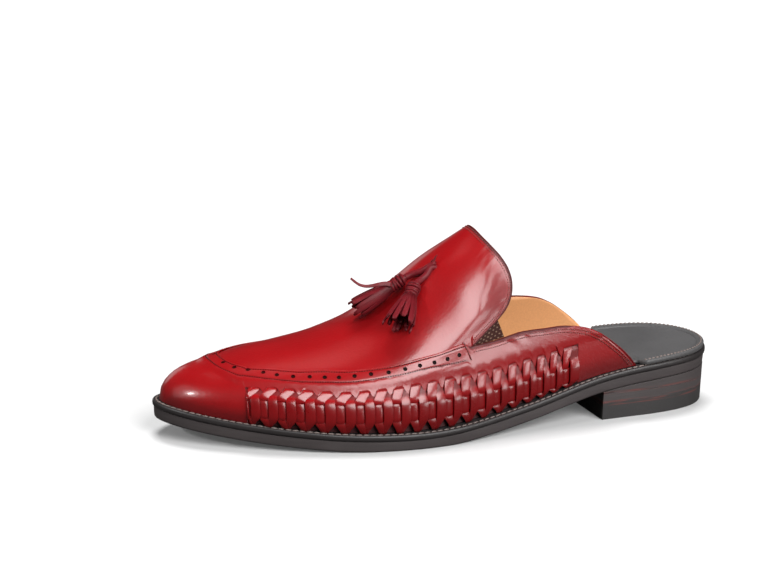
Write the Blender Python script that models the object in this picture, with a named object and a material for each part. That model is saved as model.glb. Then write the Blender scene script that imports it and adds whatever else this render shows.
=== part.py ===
"""Woven tassel mule, left shoe: a backless leather slip-on on a welted sole with a low stacked heel.

Lengths below are in millimetres and scaled to metres when a point is placed. Stations run from the
toe tip (0) to the back of the heel (LENGTH). Seen by the wearer the toe points along -X, the outer
(little toe) side is -Y and the inner (big toe) side is +Y.
"""
import math

import bmesh
import bpy
from mathutils import Matrix, Vector

MM = 0.001
LENGTH = 300.0          # welt, toe tip to back of heel
GAP = 0.3               # clearance between neighbouring pieces
WALL = 2.0              # vamp and quarter leather with its lining
TOE_SWING = 8.2         # how far the toe tip lies towards the inner side
SWING_END = 150.0       # station where that swing has died out

WELT_THICK = 3.2
WELT_WIDTH = 9.0
OUTSOLE_THICK = 5.5
OUTSOLE_INSET = 1.0     # outsole edge behind the welt's edge
INSOLE_RISE = 1.8       # insole surface above the welt
INSOLE_CLEAR = 0.7      # insole's edge inside the upper's wall
BARE_HEEL = 248.8       # station behind which the insole is bare
RIM_RUN = 4.0           # length over which the raised rim round the bare heel begins
RIM_EDGE = 0.8          # that rim's outer face behind the welt's edge
RIM_WIDE = 3.9
RIM_RISE = 2.7          # above the welt
HEEL_BREAST = 227.8     # station of the heel's front face
TOP_PIECE_HIGH = 9.2    # rubber top piece that meets the floor
LIFT_HIGH = 13.8        # top of the middle lift
HEEL_INSET = 0.9        # heel sides behind the welt's edge, at the top
HEEL_FOOT_INSET = 1.3   # and at the floor

BAND_RISE = 0.9         # apron band above the vamp
STRAP_RISE = 1.3        # woven strips above the vamp
NOTCH = 13              # weave unit whose column meets the notch beside the tongue
UNITS = 20              # woven units along each side
LEAN = 0.35             # lean of the strips' upper ends, as a share of one unit

OUTER, INNER = -1, 1    # the two sides of the shoe


class Table:
    """Rows of numbers under named columns, read smoothly along the first column.

    A column named in squared is read through its square, which rounds an end where it starts at 0.
    """

    def __init__(self, names, rows, squared=""):
        self.names = names.split()
        self.stations = [row[0] for row in rows]
        self.squared = squared.split()
        self.columns = {name: [row[i] for row in rows] for i, name in enumerate(self.names)}

    def at(self, name, station):
        values = self.columns[name]
        if name in self.squared:
            return math.sqrt(max(hermite(self.stations, [v * v for v in values], station), 0.0))
        return hermite(self.stations, values, station)


def hermite(xs, ys, x):
    """Smooth curve through the points (xs, ys), held level beyond its ends."""
    x = min(max(x, xs[0]), xs[-1])
    steps = [b - a for a, b in zip(xs, xs[1:])]
    rates = [(b - a) / step for a, b, step in zip(ys, ys[1:], steps)]
    slopes = [(h1 * r0 + h0 * r1) / (h0 + h1)
              for h0, h1, r0, r1 in zip(steps, steps[1:], rates, rates[1:])]
    slopes.insert(0, 1.5 * rates[0] - 0.5 * slopes[0])
    slopes.append(1.5 * rates[-1] - 0.5 * slopes[-1])
    i = max(k for k in range(len(steps)) if xs[k] <= x)
    t = (x - xs[i]) / steps[i]
    rise = steps[i] * (t * (1 - t) ** 2 * slopes[i] - t * t * (1 - t) * slopes[i + 1])
    return (1 + 2 * t) * (1 - t) ** 2 * ys[i] + t * t * (3 - 2 * t) * ys[i + 1] + rise


# Half widths of the welt's edge on each side, and the height of the welt's top.
WELT = Table("station outer inner", [
    (0, 0.0, 0.0), (5, 12.0, 12.0), (10, 17.4, 17.4), (20, 24.9, 24.4), (40, 35.3, 33.8),
    (60, 43.3, 41.3), (80, 49.3, 46.8), (100, 52.7, 49.3), (120, 53.7, 48.3),
    (140, 51.7, 44.8), (160, 47.3, 40.8), (180, 42.8, 37.3), (200, 39.3, 35.3),
    (220, 36.8, 34.6), (240, 35.1, 34.3), (260, 33.6, 33.3), (275, 30.3, 30.3),
    (285, 25.9, 25.9), (293, 18.9, 18.9), (298, 10.4, 10.4), (300, 0.0, 0.0),
], squared="outer inner")
PROFILE = Table("station welt_top", [
    (0, 18.3), (45, 12.5), (95, 8.95), (138, 9.0), (185, 14.4), (230, 24.2), (300, 28.5),
])

# The last: half widths at the feather line where the upper meets the welt, the ridge's sideways
# place and its rise above the feather line, how full wall and top are, and how far the wall flares.
LAST = Table("station outer inner ridge rise wall top flare", [
    (3.5, 0.0, 0.0, 8.2, 0.0, 0.60, 0.60, 0.0),
    (5, 6.5, 6.5, 8.2, 6.3, 0.60, 0.60, 0.9),
    (8, 11.5, 11.5, 8.2, 10.6, 0.62, 0.62, 1.8),
    (13, 16.8, 16.5, 8.0, 15.1, 0.64, 0.62, 2.2),
    (20, 22.0, 21.3, 7.6, 18.9, 0.66, 0.62, 2.6),
    (32, 28.8, 27.4, 6.7, 23.3, 0.68, 0.60, 3.1),
    (50, 37.0, 34.6, 5.4, 29.1, 0.68, 0.58, 3.5),
    (70, 43.8, 40.4, 4.2, 34.0, 0.66, 0.54, 4.0),
    (90, 48.2, 43.8, 3.2, 40.1, 0.64, 0.50, 4.4),
    (110, 50.0, 43.6, 2.4, 50.1, 0.62, 0.46, 4.4),
    (130, 48.4, 40.4, 1.8, 65.7, 0.60, 0.44, 3.3),
    (150, 44.6, 37.2, 1.2, 78.9, 0.58, 0.42, 2.2),
    (168, 40.6, 34.2, 0.8, 88.2, 0.58, 0.42, 1.1),
    (185, 37.2, 32.2, 0.5, 92.1, 0.58, 0.42, 0.7),
    (205, 34.4, 31.0, 0.2, 89.9, 0.58, 0.42, 0.4),
    (225, 32.6, 30.8, 0.0, 85.4, 0.58, 0.42, 0.4),
    (250, 31.0, 30.4, 0.0, 80.5, 0.58, 0.42, 0.4),
], squared="outer inner rise")
TOE_POLE = LAST.stations[0]

# Lines drawn on the upper, as shares of the girth above the feather line (0) up to the ridge (1).
WEAVE = Table("station edge band_top band_foot", [
    (34, 0.420, 0.280, 0.130), (50, 0.392, 0.248, 0.114), (80, 0.314, 0.216, 0.116),
    (104, 0.275, 0.183, 0.110), (124, 0.228, 0.138, 0.070), (144, 0.188, 0.108, 0.050),
    (164, 0.156, 0.084, 0.036), (185, 0.140, 0.073, 0.020), (212, 0.132, 0.062, 0.015),
])
APRON = Table("station band_low band_high", [
    (38, 0.580, 0.680), (48, 0.505, 0.620), (62, 0.448, 0.550), (75, 0.418, 0.517),
    (91, 0.382, 0.458), (104, 0.361, 0.421), (117, 0.325, 0.380), (131, 0.286, 0.338),
    (148, 0.249, 0.310), (158, 0.240, 0.294),
])
TONGUE = Table("share edge", [
    (0.294, 151.5), (0.305, 155.5), (0.319, 160.0), (0.337, 166.5), (0.367, 172.8),
    (0.403, 176.1), (0.460, 177.7), (0.523, 177.0), (0.601, 174.4), (0.691, 170.8),
    (0.812, 167.2), (0.938, 165.5), (1.0, 165.2),
])
TOPLINE = Table("station share", [
    (151.5, 0.294), (165, 0.265), (180, 0.253), (194.5, 0.234), (203, 0.225), (211, 0.209),
])
QUARTER_BACK = Table("rise station", [
    (0.0, 247.5), (0.10, 245.4), (0.33, 239.5), (0.56, 232.3), (0.77, 224.7), (0.91, 217.8),
    (1.0, 211.0),
])
# Where the weave's columns cross its upper edge, and the same columns at the apron band.
COLUMNS = Table("unit edge apron", [
    (0, 37.5, 38.0), (3, 61.5, 60.5), (6, 89.5, 87.5), (9, 117.0, 114.5), (13, 155.5, 151.5),
    (16, 182.5, 178.0), (20, 213.0, 206.0),
])
# Fan of columns round the toe: station on the feather line, and place on the band's two edges.
TOE_FAN = Table("spoke feather low_station low_share high_station high_share", [
    (0, TOE_POLE, 28.4, 1.0, 33.6, 1.0), (1, 5.2, 28.6, 0.92, 33.8, 0.93),
    (2, 9.0, 29.2, 0.83, 34.4, 0.86), (3, 14.5, 30.6, 0.75, 35.6, 0.80),
    (4, 21.5, 32.6, 0.68, 37.4, 0.745), (5, 29.5, 35.4, 0.61, 39.6, 0.70),
])


def toe_swing(station):
    return TOE_SWING * min(max((SWING_END - station) / SWING_END, 0.0), 1.0) ** 2


def side_name(side):
    return "outer" if side == OUTER else "inner"


def rim(side, angle):
    """Place on the welt's edge; the angle runs from 0 at the toe tip to pi at the back of the heel."""
    station = LENGTH / 2 * (1 - math.cos(angle))
    return station, toe_swing(station) + side * WELT.at(side_name(side), station)


def angle_at(station):
    return math.acos(1 - 2 * station / LENGTH)


def middle_line():
    """Sideways middle of the whole outline, which becomes y = 0."""
    angles = [math.pi * k / 200 for k in range(1, 200)]
    return (min(rim(OUTER, a)[1] for a in angles) + max(rim(INNER, a)[1] for a in angles)) / 2


MIDDLE = middle_line()


def place(station, across, height):
    return Vector(((station - LENGTH / 2) * MM, (across - MIDDLE) * MM, height * MM))


def inset_rim(side, angle, inset):
    """The welt's edge moved inwards along its own normal."""
    step = 0.004
    x0, y0 = rim(side, angle - step)
    x1, y1 = rim(side, angle + step)
    along = math.hypot(x1 - x0, y1 - y0)
    x, y = rim(side, angle)
    return x + side * inset * (y1 - y0) / along, y - side * inset * (x1 - x0) / along


def welt_top(station):
    return PROFILE.at("welt_top", min(max(station, 0.0), LENGTH))


def outsole_top(station):
    return welt_top(station) - WELT_THICK - GAP


def outsole_foot(station):
    return max(outsole_top(station) - OUTSOLE_THICK, 0.0)


# ---------------------------------------------------------------- the last's surface

def last_point(side, station, share):
    """(station, across, height) on the outside of the upper; share is 0 at the feather, 1 on the ridge."""
    half = LAST.at(side_name(side), station)
    ridge, rise, wall, top, flare = (LAST.at(name, station) for name in LAST.names[3:])
    foot = toe_swing(station) + side * half
    base = welt_top(station) + GAP
    across = (foot, foot + side * flare, ridge + (foot - ridge) * top, ridge)
    height = (0.0, wall * rise, rise, rise)
    weights = ((1 - share) ** 3, 3 * share * (1 - share) ** 2, 3 * share * share * (1 - share), share ** 3)
    return Vector((station, sum(w * a for w, a in zip(weights, across)),
                   base + sum(w * h for w, h in zip(weights, height))))


def last_normal(side, station, share):
    station = max(station, TOE_POLE + 0.3)
    low, high = max(share - 0.02, 0.0), min(share + 0.02, 1.0)
    up = last_point(side, station, high) - last_point(side, station, low)
    if share > 0.98:
        up = last_point(-side, station, 0.98) - last_point(side, station, 0.98)
    along = last_point(side, station + 0.3, share) - last_point(side, station - 0.25, share)
    normal = along.cross(up) * -side
    if share < 0.001:
        normal.z = 0.0
    return normal.normalized()


def skin(side, station, share, lift=0.0):
    """World point over (or, with a negative lift, under) the last's surface."""
    if station <= TOE_POLE + 0.01:
        point, normal = last_point(side, TOE_POLE, 0.0), Vector((-1, 0, 0))
    else:
        point, normal = last_point(side, station, share), last_normal(side, station, share)
    if share > 0.999:
        normal = Vector((normal.x, 0, normal.z)).normalized()
    moved = point + normal * lift
    if share < 0.001 or station <= TOE_POLE + 0.01:
        moved.z = welt_top(moved.x) + GAP
    return place(*moved)


# ---------------------------------------------------------------- mesh building

class Shell:
    """Gathers faces between given points, sharing the points that coincide."""

    def __init__(self):
        self.bm = bmesh.new()
        self.found = {}

    def vertex(self, point):
        key = tuple(round(value * 2e5) for value in point)
        if key not in self.found:
            self.found[key] = self.bm.verts.new(point)
        return self.found[key]

    def face(self, points):
        ring = []
        for vertex in map(self.vertex, points):
            if vertex not in ring:
                ring.append(vertex)
        if len(ring) > 2:
            self.bm.faces.new(ring)

    def rows(self, low, high):
        """Quads between two rows with equally many points."""
        for a, b, c, d in zip(low, low[1:], high[1:], high):
            self.face([a, b, c, d])

    def lace(self, low, high):
        """Triangles between two rows with any numbers of points."""
        i = j = 0
        while i < len(low) - 1 or j < len(high) - 1:
            ahead_low = (i + 1) / (len(low) - 1) if i < len(low) - 1 else 2.0
            ahead_high = (j + 1) / (len(high) - 1) if j < len(high) - 1 else 2.0
            if ahead_low <= ahead_high:
                self.face([low[i], low[i + 1], high[j]])
                i += 1
            else:
                self.face([low[i], high[j + 1], high[j]])
                j += 1

    def finish(self, name, color, roughness):
        """Object with every face pointing out; a flat-sided n-gon is cut into triangles."""
        bmesh.ops.recalc_face_normals(self.bm, faces=self.bm.faces)
        bmesh.ops.triangulate(self.bm, faces=[f for f in self.bm.faces if len(f.verts) > 4])
        return mesh_object(name, self.bm, color, roughness)


def material(name, color, roughness):
    made = bpy.data.materials.new(name)
    made.use_nodes = True
    shader = made.node_tree.nodes["Principled BSDF"]
    shader.inputs["Base Color"].default_value = (*color, 1.0)
    shader.inputs["Roughness"].default_value = roughness
    shader.inputs["Metallic"].default_value = 0.0
    return made


def mesh_object(name, bm, color, roughness):
    mesh = bpy.data.meshes.new(name)
    bm.to_mesh(mesh)
    bm.free()
    mesh.shade_smooth()
    mesh.set_sharp_from_angle(angle=math.radians(35))
    mesh.materials.append(material(name, color, roughness))
    made = bpy.data.objects.new(name, mesh)
    bpy.data.collections[COLLECTION].objects.link(made)
    return made


COLLECTION = "woven_tassel_mule"
CUTTERS = "cutters"
RED = (0.42, 0.012, 0.02)
TASSEL_RED = (0.13, 0.012, 0.022)
EDGE_BLACK = (0.035, 0.026, 0.024)
WELT_BROWN = (0.05, 0.03, 0.025)
SOCK_GREY = (0.06, 0.06, 0.065)
GORE_BROWN = (0.06, 0.03, 0.02)
RUBBER_BLACK = (0.02, 0.02, 0.02)


# ---------------------------------------------------------------- sole pieces

def sole_angles(first=0.0, count=32):
    """Evenly turned angles from a station to the back of the heel, a little short of each end."""
    start = max(angle_at(first), 0.4 * math.pi / count)
    end = math.pi - 0.4 * math.pi / count
    return [start + (end - start) * k / count for k in range(count + 1)]


def plate(name, levels, angles, color, roughness):
    """Solid slab under the foot; levels are (inset from the rim, height above the floor), bottom up.

    An inset may be a function of (side, angle), and a height one of the station.
    """
    sections = []
    for angle in angles:
        ring = []
        for side, order in ((OUTER, levels), (INNER, levels[::-1])):
            for inset, height in order:
                x, y = inset_rim(side, angle, inset(side, angle) if callable(inset) else inset)
                ring.append(place(x, y, height(x) if callable(height) else height))
        sections.append(ring)
    shell = Shell()
    for low, high in zip(sections, sections[1:]):
        shell.rows(low + low[:1], high + high[:1])
    for end in (sections[0], sections[-1]):
        shell.rows(end[:len(levels)], end[:len(levels) - 1:-1])
    return shell.finish(name, color, roughness)


def make_outsole():
    return plate("outsole", [
        (OUTSOLE_INSET + 1.2, outsole_foot),
        (OUTSOLE_INSET, lambda x: outsole_foot(x) + 1.0),
        (OUTSOLE_INSET, outsole_top),
    ], sole_angles(), EDGE_BLACK, 0.45)


def make_welt():
    """Ring that carries the upper's seam, all the way round."""
    profile = [(0.5, -WELT_THICK), (0.0, -WELT_THICK + 0.6), (0.0, -0.7), (0.6, 0.0),
               (WELT_WIDTH, 0.0), (WELT_WIDTH, -WELT_THICK)]
    angles = sole_angles()
    turns = [(OUTER, angle) for angle in angles] + [(INNER, angle) for angle in angles[::-1]]
    sections = []
    for side, angle in turns:
        ring = []
        for inset, drop in profile:
            x, y = inset_rim(side, angle, inset)
            ring.append(place(x, y, welt_top(x) + drop))
        sections.append(ring)
    shell = Shell()
    for low, high in zip(sections, sections[1:] + sections[:1]):
        shell.rows(low + low[:1], high + high[:1])
    return shell.finish("welt", WELT_BROWN, 0.5)


def wall_feet(side):
    """The foot of the upper's inner face, as (station, across) pairs."""
    feet = []
    count = 120
    for k in range(count + 1):
        station = TOE_POLE + (QUARTER_BACK.at("station", 0) - TOE_POLE) * (k / count) ** 1.5
        point = skin(side, station, 0.0, -WALL) / MM
        feet.append((point.x + LENGTH / 2, point.y + MIDDLE))
    return feet


def bareness(station):
    """0 where the upper covers the insole, 1 on the bare heel."""
    u = min(max((station - BARE_HEEL) / RIM_RUN, 0.0), 1.0)
    return u * u * (3 - 2 * u)


def insole_edges():
    """Function of (side, angle) for the inset of the insole's edge from the rim of the welt.

    It stays inside the upper's wall, then comes nearer to the rim at the bare heel.
    """
    feet = {side: wall_feet(side) for side in (OUTER, INNER)}

    def edge(side, angle):
        x, y = rim(side, angle)
        covered = min(math.hypot(x - a, y - b) for a, b in feet[side]) + INSOLE_CLEAR
        return covered + (RIM_EDGE - covered) * bareness(x)
    return edge


def make_insole():
    """Board with a plug that fills the welt ring and a flange that spreads over it.

    Round the bare heel the flange ends in a raised rim.
    """
    edge = insole_edges()

    def inside(width):
        return lambda side, angle: edge(side, angle) + width

    def rim_top(drop):
        return lambda x: welt_top(x) + INSOLE_RISE + (RIM_RISE - INSOLE_RISE) * bareness(x) - drop

    angles = sole_angles() + [angle_at(BARE_HEEL), angle_at(BARE_HEEL + RIM_RUN)]
    return plate("insole", [
        (WELT_WIDTH + GAP, lambda x: outsole_top(x) + GAP),
        (WELT_WIDTH + GAP, lambda x: welt_top(x) + GAP),
        (edge, lambda x: welt_top(x) + GAP),
        (edge, rim_top(0.8)),
        (inside(0.9), rim_top(0.0)),
        (inside(RIM_WIDE - 0.8), rim_top(0.0)),
        (inside(RIM_WIDE), lambda x: welt_top(x) + INSOLE_RISE),
    ], sorted(angles), SOCK_GREY, 0.6)


def make_heel():
    """Two leather lifts and the rubber top piece; their sides taper from the sole to the floor."""
    angles = sole_angles(HEEL_BREAST, 12)

    def inset(height):
        share = height / outsole_foot(LENGTH)
        return HEEL_FOOT_INSET + (HEEL_INSET - HEEL_FOOT_INSET) * share

    plate("heel_wedge_lift", [
        (inset(LIFT_HIGH), LIFT_HIGH + GAP), (HEEL_INSET, lambda x: outsole_foot(x) - GAP),
    ], angles, EDGE_BLACK, 0.45)
    plate("heel_middle_lift", [
        (inset(TOP_PIECE_HIGH), TOP_PIECE_HIGH + GAP), (inset(LIFT_HIGH), LIFT_HIGH),
    ], angles, EDGE_BLACK, 0.45)
    plate("heel_top_piece", [
        (HEEL_FOOT_INSET + 0.5, 0.0), (HEEL_FOOT_INSET, 0.6), (inset(TOP_PIECE_HIGH), TOP_PIECE_HIGH),
    ], angles, RUBBER_BLACK, 0.6)


# ---------------------------------------------------------------- the woven side

# Height of one woven unit's surface, as a share of STRAP_RISE. Columns run across the unit: strap
# over which the long band passes (two), gap, strap that passes over the band (two), gap. Rows run up
# from the feather: V of the lower ends, the band's foot and top, the crossed upper ends, the edge.
UNIT_COLUMNS = (0.0, 0.1, 0.4, 0.5, 0.6, 0.9)
UNIT_ROWS = (
    # level, lean, heights
    ("feather", 0.0, (0.0, 0.0, 0.0, 0.0, 0.0, 0.0)),
    ("v_middle", 0.0, (-0.5, -0.4, 0.6, 0.4, 0.6, -0.4)),
    ("band_foot", 0.0, (0.1, 0.8, 0.8, 0.1, 0.9, 0.9)),
    ("band_top", 0.0, (0.1, 0.8, 0.8, 0.1, 1.0, 1.0)),
    ("above_band", 0.1, (0.0, 0.4, 0.4, 0.0, 0.7, 0.6)),
    ("crossing", 0.6, (0.1, 1.0, 1.0, 0.0, 0.3, 0.2)),
    ("tips", 0.95, (0.0, 0.7, 0.7, -0.1, -0.1, 0.0)),
    ("edge", 1.0, (0.0, 0.0, 0.0, 0.0, 0.0, 0.0)),
)


def unit_level(name, station):
    """Share of the girth at which a row of the weave lies."""
    foot, top, edge = (WEAVE.at(column, station) for column in ("band_foot", "band_top", "edge"))
    return {
        "feather": 0.0, "v_middle": 0.5 * foot, "band_foot": foot, "band_top": top,
        "above_band": top + 0.12 * (edge - top), "crossing": top + 0.5 * (edge - top),
        "tips": top + 0.88 * (edge - top), "edge": edge,
    }[name]


def column_station(unit, level):
    """Station of a column: its place at the weave's edge, less the strips' lean further down."""
    unit = min(max(unit, 0.0), UNITS)
    reach = COLUMNS.at("edge", min(unit + 0.5, UNITS)) - COLUMNS.at("edge", max(unit - 0.5, 0.0))
    ends = min(1.0, 2 * unit, 2 * (UNITS - unit))
    return COLUMNS.at("edge", unit) - (1 - level) * LEAN * reach * ends


def weave_rows(side):
    rows = []
    for level, lean, heights in UNIT_ROWS:
        row = []
        for k in range(UNITS * len(UNIT_COLUMNS) + 1):
            unit, column = divmod(k, len(UNIT_COLUMNS))
            station = column_station(unit + UNIT_COLUMNS[column], lean)
            height = heights[column] if 0 < k < UNITS * len(UNIT_COLUMNS) else 0.0
            row.append(skin(side, station, unit_level(level, station), height * STRAP_RISE))
        rows.append(row)
    return rows


# ---------------------------------------------------------------- the upper

# A column is a list of (station, share) spots: feather, two on the lower wall, the weave's edge, the
# apron band's two edges, then VAMP_ROWS up to the ridge.
VAMP_ROWS = (0.2, 0.42, 0.65, 0.85, 1.0)
LOWER_WALL = (0.33, 0.66)
FAN_LEVELS = (0.0, 0.22, 0.45, 0.7)
EDGE, BAND_LOW, BAND_HIGH = 3, 4, 5
SPOKES = len(TOE_FAN.stations)
BACK_STEPS = (0.35, 0.7, 1.0)               # columns from the last woven unit to the quarter's end
TONGUE_STEPS = (0.0, 0.35, 0.7, 1.0)        # points of a row from the notch's column to the edge
CORNER_STEPS = (0.12, 0.25, 0.45, 0.7)      # points of the edge between the notch and the first row


def split_share(unit):
    """Share of the quarter's topline at a column; in front of it the tongue starts there."""
    return TOPLINE.at("share", COLUMNS.at("apron", unit))


def ridge_station(column):
    """Where a column in front of the notch ends on the ridge, evenly spaced behind the apron."""
    first, last = TOE_FAN.at("high_station", 0), COLUMNS.at("apron", NOTCH)
    return first + (last - first) * column / (SPOKES + NOTCH)


def with_vamp(levels, column):
    """The levels up to the band's upper edge, carried on to the ridge."""
    station, share = levels[-1]
    back = ridge_station(column)
    return levels + [(station + (back - station) * u, share + (1 - share) * u) for u in VAMP_ROWS]


def toe_column(spoke):
    feather, low, low_share, high, high_share = (
        TOE_FAN.at(name, spoke) for name in TOE_FAN.names[1:])
    bend = 3 - 2 * spoke / (SPOKES - 1)
    levels = [(feather + (low - feather) * u, low_share * (1 - (1 - u) ** bend)) for u in FAN_LEVELS]
    if spoke == 0:
        levels = [(station, 1.0) for station, share in levels]
    return with_vamp(levels + [(low, low_share), (high, high_share)], spoke)


def wall_levels(unit):
    """Feather, lower wall and weave edge of a unit's column."""
    foot, edge = column_station(unit, 0.0), column_station(unit, 1.0)
    share = WEAVE.at("edge", edge)
    return [(foot, 0.0)] + [(foot + (edge - foot) * u, share * u) for u in LOWER_WALL] + [(edge, share)]


def vamp_column(unit):
    apron = COLUMNS.at("apron", unit)
    low, high = APRON.at("band_low", apron), APRON.at("band_high", apron)
    levels = wall_levels(unit)
    if unit == NOTCH:
        high = split_share(unit)
        low = 0.5 * (levels[EDGE][1] + high)
    return with_vamp(levels + [(apron, low), (apron, high)], SPOKES + unit)


def quarter_column(unit, back=0.0):
    """Column behind the notch, feather to topline; back moves the last one to the quarter's end."""
    apron = COLUMNS.at("apron", unit)
    top = split_share(unit)
    levels = wall_levels(unit)
    levels += [(apron, 0.5 * (levels[EDGE][1] + top)), (apron, top)]
    moved = []
    for station, share in levels:
        rise = share / top
        end, end_share = QUARTER_BACK.at("station", rise), TOPLINE.columns["share"][-1] * rise
        moved.append((station + (end - station) * back, share + (end_share - share) * back))
    return moved


def tongue_row(u):
    start, base = COLUMNS.at("apron", NOTCH), split_share(NOTCH)
    share = base + (1 - base) * u
    return [(start + (TONGUE.at("edge", share) - start) * v, share) for v in TONGUE_STEPS]


def tongue_corner():
    """The tongue's edge from the notch to the end of its first row."""
    base, first = split_share(NOTCH), tongue_row(VAMP_ROWS[0])[-1]
    shares = [base + (first[1] - base) * u for u in CORNER_STEPS]
    start = (COLUMNS.at("apron", NOTCH), base)
    return [start] + [(TONGUE.at("edge", share), share) for share in shares] + [first]


def add_vamp(shell, side, weave):
    """Toe, apron band and vamp in front of the notch, inside and out."""
    columns = [toe_column(k) for k in range(SPOKES)] + [vamp_column(k) for k in range(NOTCH + 1)]
    for k, (here, there) in enumerate(zip(columns, columns[1:])):
        a, b = ([skin(side, *spot) for spot in column] for column in (here, there))
        unit = k - SPOKES
        strap = len(UNIT_COLUMNS)
        if unit < 0:
            edge = [a[EDGE], b[EDGE]]
            if unit < -1:
                shell.rows(a[:EDGE + 1], b[:EDGE + 1])
            else:
                shell.lace(a[:EDGE + 1], [row[0] for row in weave])
        else:
            edge = weave[-1][unit * strap:(unit + 1) * strap + 1]
        shell.lace(edge, [a[BAND_LOW], b[BAND_LOW]])
        rises = [BAND_RISE if column is not columns[-1] else 0.0 for column in (here, there)]
        raised_a = [skin(side, *here[i], rises[0]) for i in (BAND_LOW, BAND_HIGH)]
        raised_b = [skin(side, *there[i], rises[1]) for i in (BAND_LOW, BAND_HIGH)]
        shell.rows([a[BAND_LOW]] + raised_a + a[BAND_HIGH:], [b[BAND_LOW]] + raised_b + b[BAND_HIGH:])
        inner_a, inner_b = ([skin(side, *spot, -WALL) for spot in column] for column in (here, there))
        shell.rows(inner_a, inner_b)
        foot = [a[0], b[0]] if unit < 0 else weave[0][unit * strap:(unit + 1) * strap + 1]
        shell.lace(foot, [inner_a[0], inner_b[0]])


def add_quarter(shell, side, weave):
    """Wall behind the notch: its woven units, then plain leather up to its slanted back edge."""
    columns = [quarter_column(unit) for unit in range(NOTCH, UNITS + 1)]
    columns += [quarter_column(UNITS, back) for back in BACK_STEPS]
    strap = len(UNIT_COLUMNS)
    for k, (here, there) in enumerate(zip(columns, columns[1:])):
        a, b = ([skin(side, *spot) for spot in column] for column in (here, there))
        inner_a, inner_b = ([skin(side, *spot, -WALL) for spot in column] for column in (here, there))
        unit = NOTCH + k
        if unit < UNITS:
            edge = weave[-1][unit * strap:(unit + 1) * strap + 1]
            foot = weave[0][unit * strap:(unit + 1) * strap + 1]
        else:
            edge, foot = [a[EDGE], b[EDGE]], [a[0], b[0]]
            wall = [row[-1] for row in weave] if unit == UNITS else a[:EDGE + 1]
            shell.lace(wall, b[:EDGE + 1])
        shell.lace(edge, [a[BAND_LOW], b[BAND_LOW]])
        shell.rows(a[BAND_LOW:], b[BAND_LOW:])
        shell.rows(inner_a, inner_b)
        shell.lace(foot, [inner_a[0], inner_b[0]])
        shell.face([a[-1], b[-1], inner_b[-1], inner_a[-1]])
    shell.rows(b, inner_b)


def add_tongue(shell, side):
    rows = [tongue_row(u) for u in VAMP_ROWS]
    corner = tongue_corner()
    for lift in (0.0, -WALL):
        points = [[skin(side, *spot, lift) for spot in row] for row in rows]
        shell.lace([skin(side, *spot, lift) for spot in corner], points[0])
        for low, high in zip(points, points[1:]):
            shell.rows(low, high)
    rim_spots = corner + [row[-1] for row in rows[1:]]
    shell.rows([skin(side, *spot) for spot in rim_spots],
               [skin(side, *spot, -WALL) for spot in rim_spots])


def make_upper():
    """Vamp with its tongue and both quarters: one wall, open at the foot, the throat and the heel."""
    shell = Shell()
    for side in (OUTER, INNER):
        weave = weave_rows(side)
        for low, high in zip(weave, weave[1:]):
            shell.rows(low, high)
        add_vamp(shell, side, weave)
        add_quarter(shell, side, weave)
        add_tongue(shell, side)
    return shell.finish("upper", RED, 0.28)


GORE_DEPTH = WALL + 0.6    # behind the upper's outside, clear of its flat facets
GORE_THICK = 1.1
GORE = Table("along low_station low_share high_station high_share", [
    (0.0, 147.0, 0.255, 147.0, 0.335), (0.5, 160.0, 0.228, 156.5, 0.372),
    (1.0, 173.0, 0.215, 165.5, 0.405),
])


def make_gore(side):
    """Elastic gusset behind the notch, lapped under the tongue's edge and the topline."""
    shell = Shell()
    steps = [k / 4 for k in range(5)]
    sheets = []
    for depth in (GORE_DEPTH, GORE_DEPTH + GORE_THICK):
        grid = []
        for along in steps:
            low, low_share, high, high_share = (GORE.at(name, along) for name in GORE.names[1:])
            grid.append([skin(side, low + (high - low) * u, low_share + (high_share - low_share) * u,
                              -depth) for u in steps])
        sheets.append(grid)
    for grid in sheets:
        for low, high in zip(grid, grid[1:]):
            shell.rows(low, high)
    front, back = sheets
    for near, far in ((front[0], back[0]), (front[-1], back[-1]),
                      ([row[0] for row in front], [row[0] for row in back]),
                      ([row[-1] for row in front], [row[-1] for row in back])):
        shell.rows(near, far)
    return shell.finish("gore_" + side_name(side), GORE_BROWN, 0.8)


# ---------------------------------------------------------------- lace and tassels

# Spots over the vamp, as (station, share on the outer side, lift).
KNOT = (141.0, 0.825, 2.4)
LACES = {
    "front": ((141.0, 0.83, 2.5), (136.5, 0.85, 2.2), (132.5, 0.875, 3.0), (129.8, 0.88, 3.6)),
    "rear": ((141.0, 0.82, 2.2), (137.0, 0.80, 1.9), (134.0, 0.79, 2.6), (131.8, 0.78, 3.6)),
}
TASSEL_SPOTS = {
    "front": ((129.0, 0.882, 3.9), (106.7, 0.90, 7.0)),
    "rear": ((131.0, 0.775, 4.0), (117.4, 0.588, 7.4)),
}
LACE_RADIUS = 1.25
LACE_POINTS = 9
KNOT_SIZE = (3.2, 2.3, 1.9)     # half axes
TILT = Matrix.Rotation(math.radians(-28), 3, "Y")     # the knot lies along the slope of the vamp
STRIPS = 14
TASSEL = Table("along radius slit", [
    (0.0, 1.8, 0.0), (0.04, 3.0, 0.0), (0.16, 3.5, 0.06), (0.27, 3.2, 0.10), (0.34, 3.9, 0.16),
    (0.55, 5.6, 0.22), (0.8, 7.2, 0.26), (1.0, 8.0, 0.30),
])
TASSEL_FLATNESS = 0.78
HOLLOW = ((0.93, 0.62), (0.86, 0.3))    # rings of the skirt's open end: along, share of the radius


def over_vamp(spot):
    return skin(OUTER, *spot)


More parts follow.
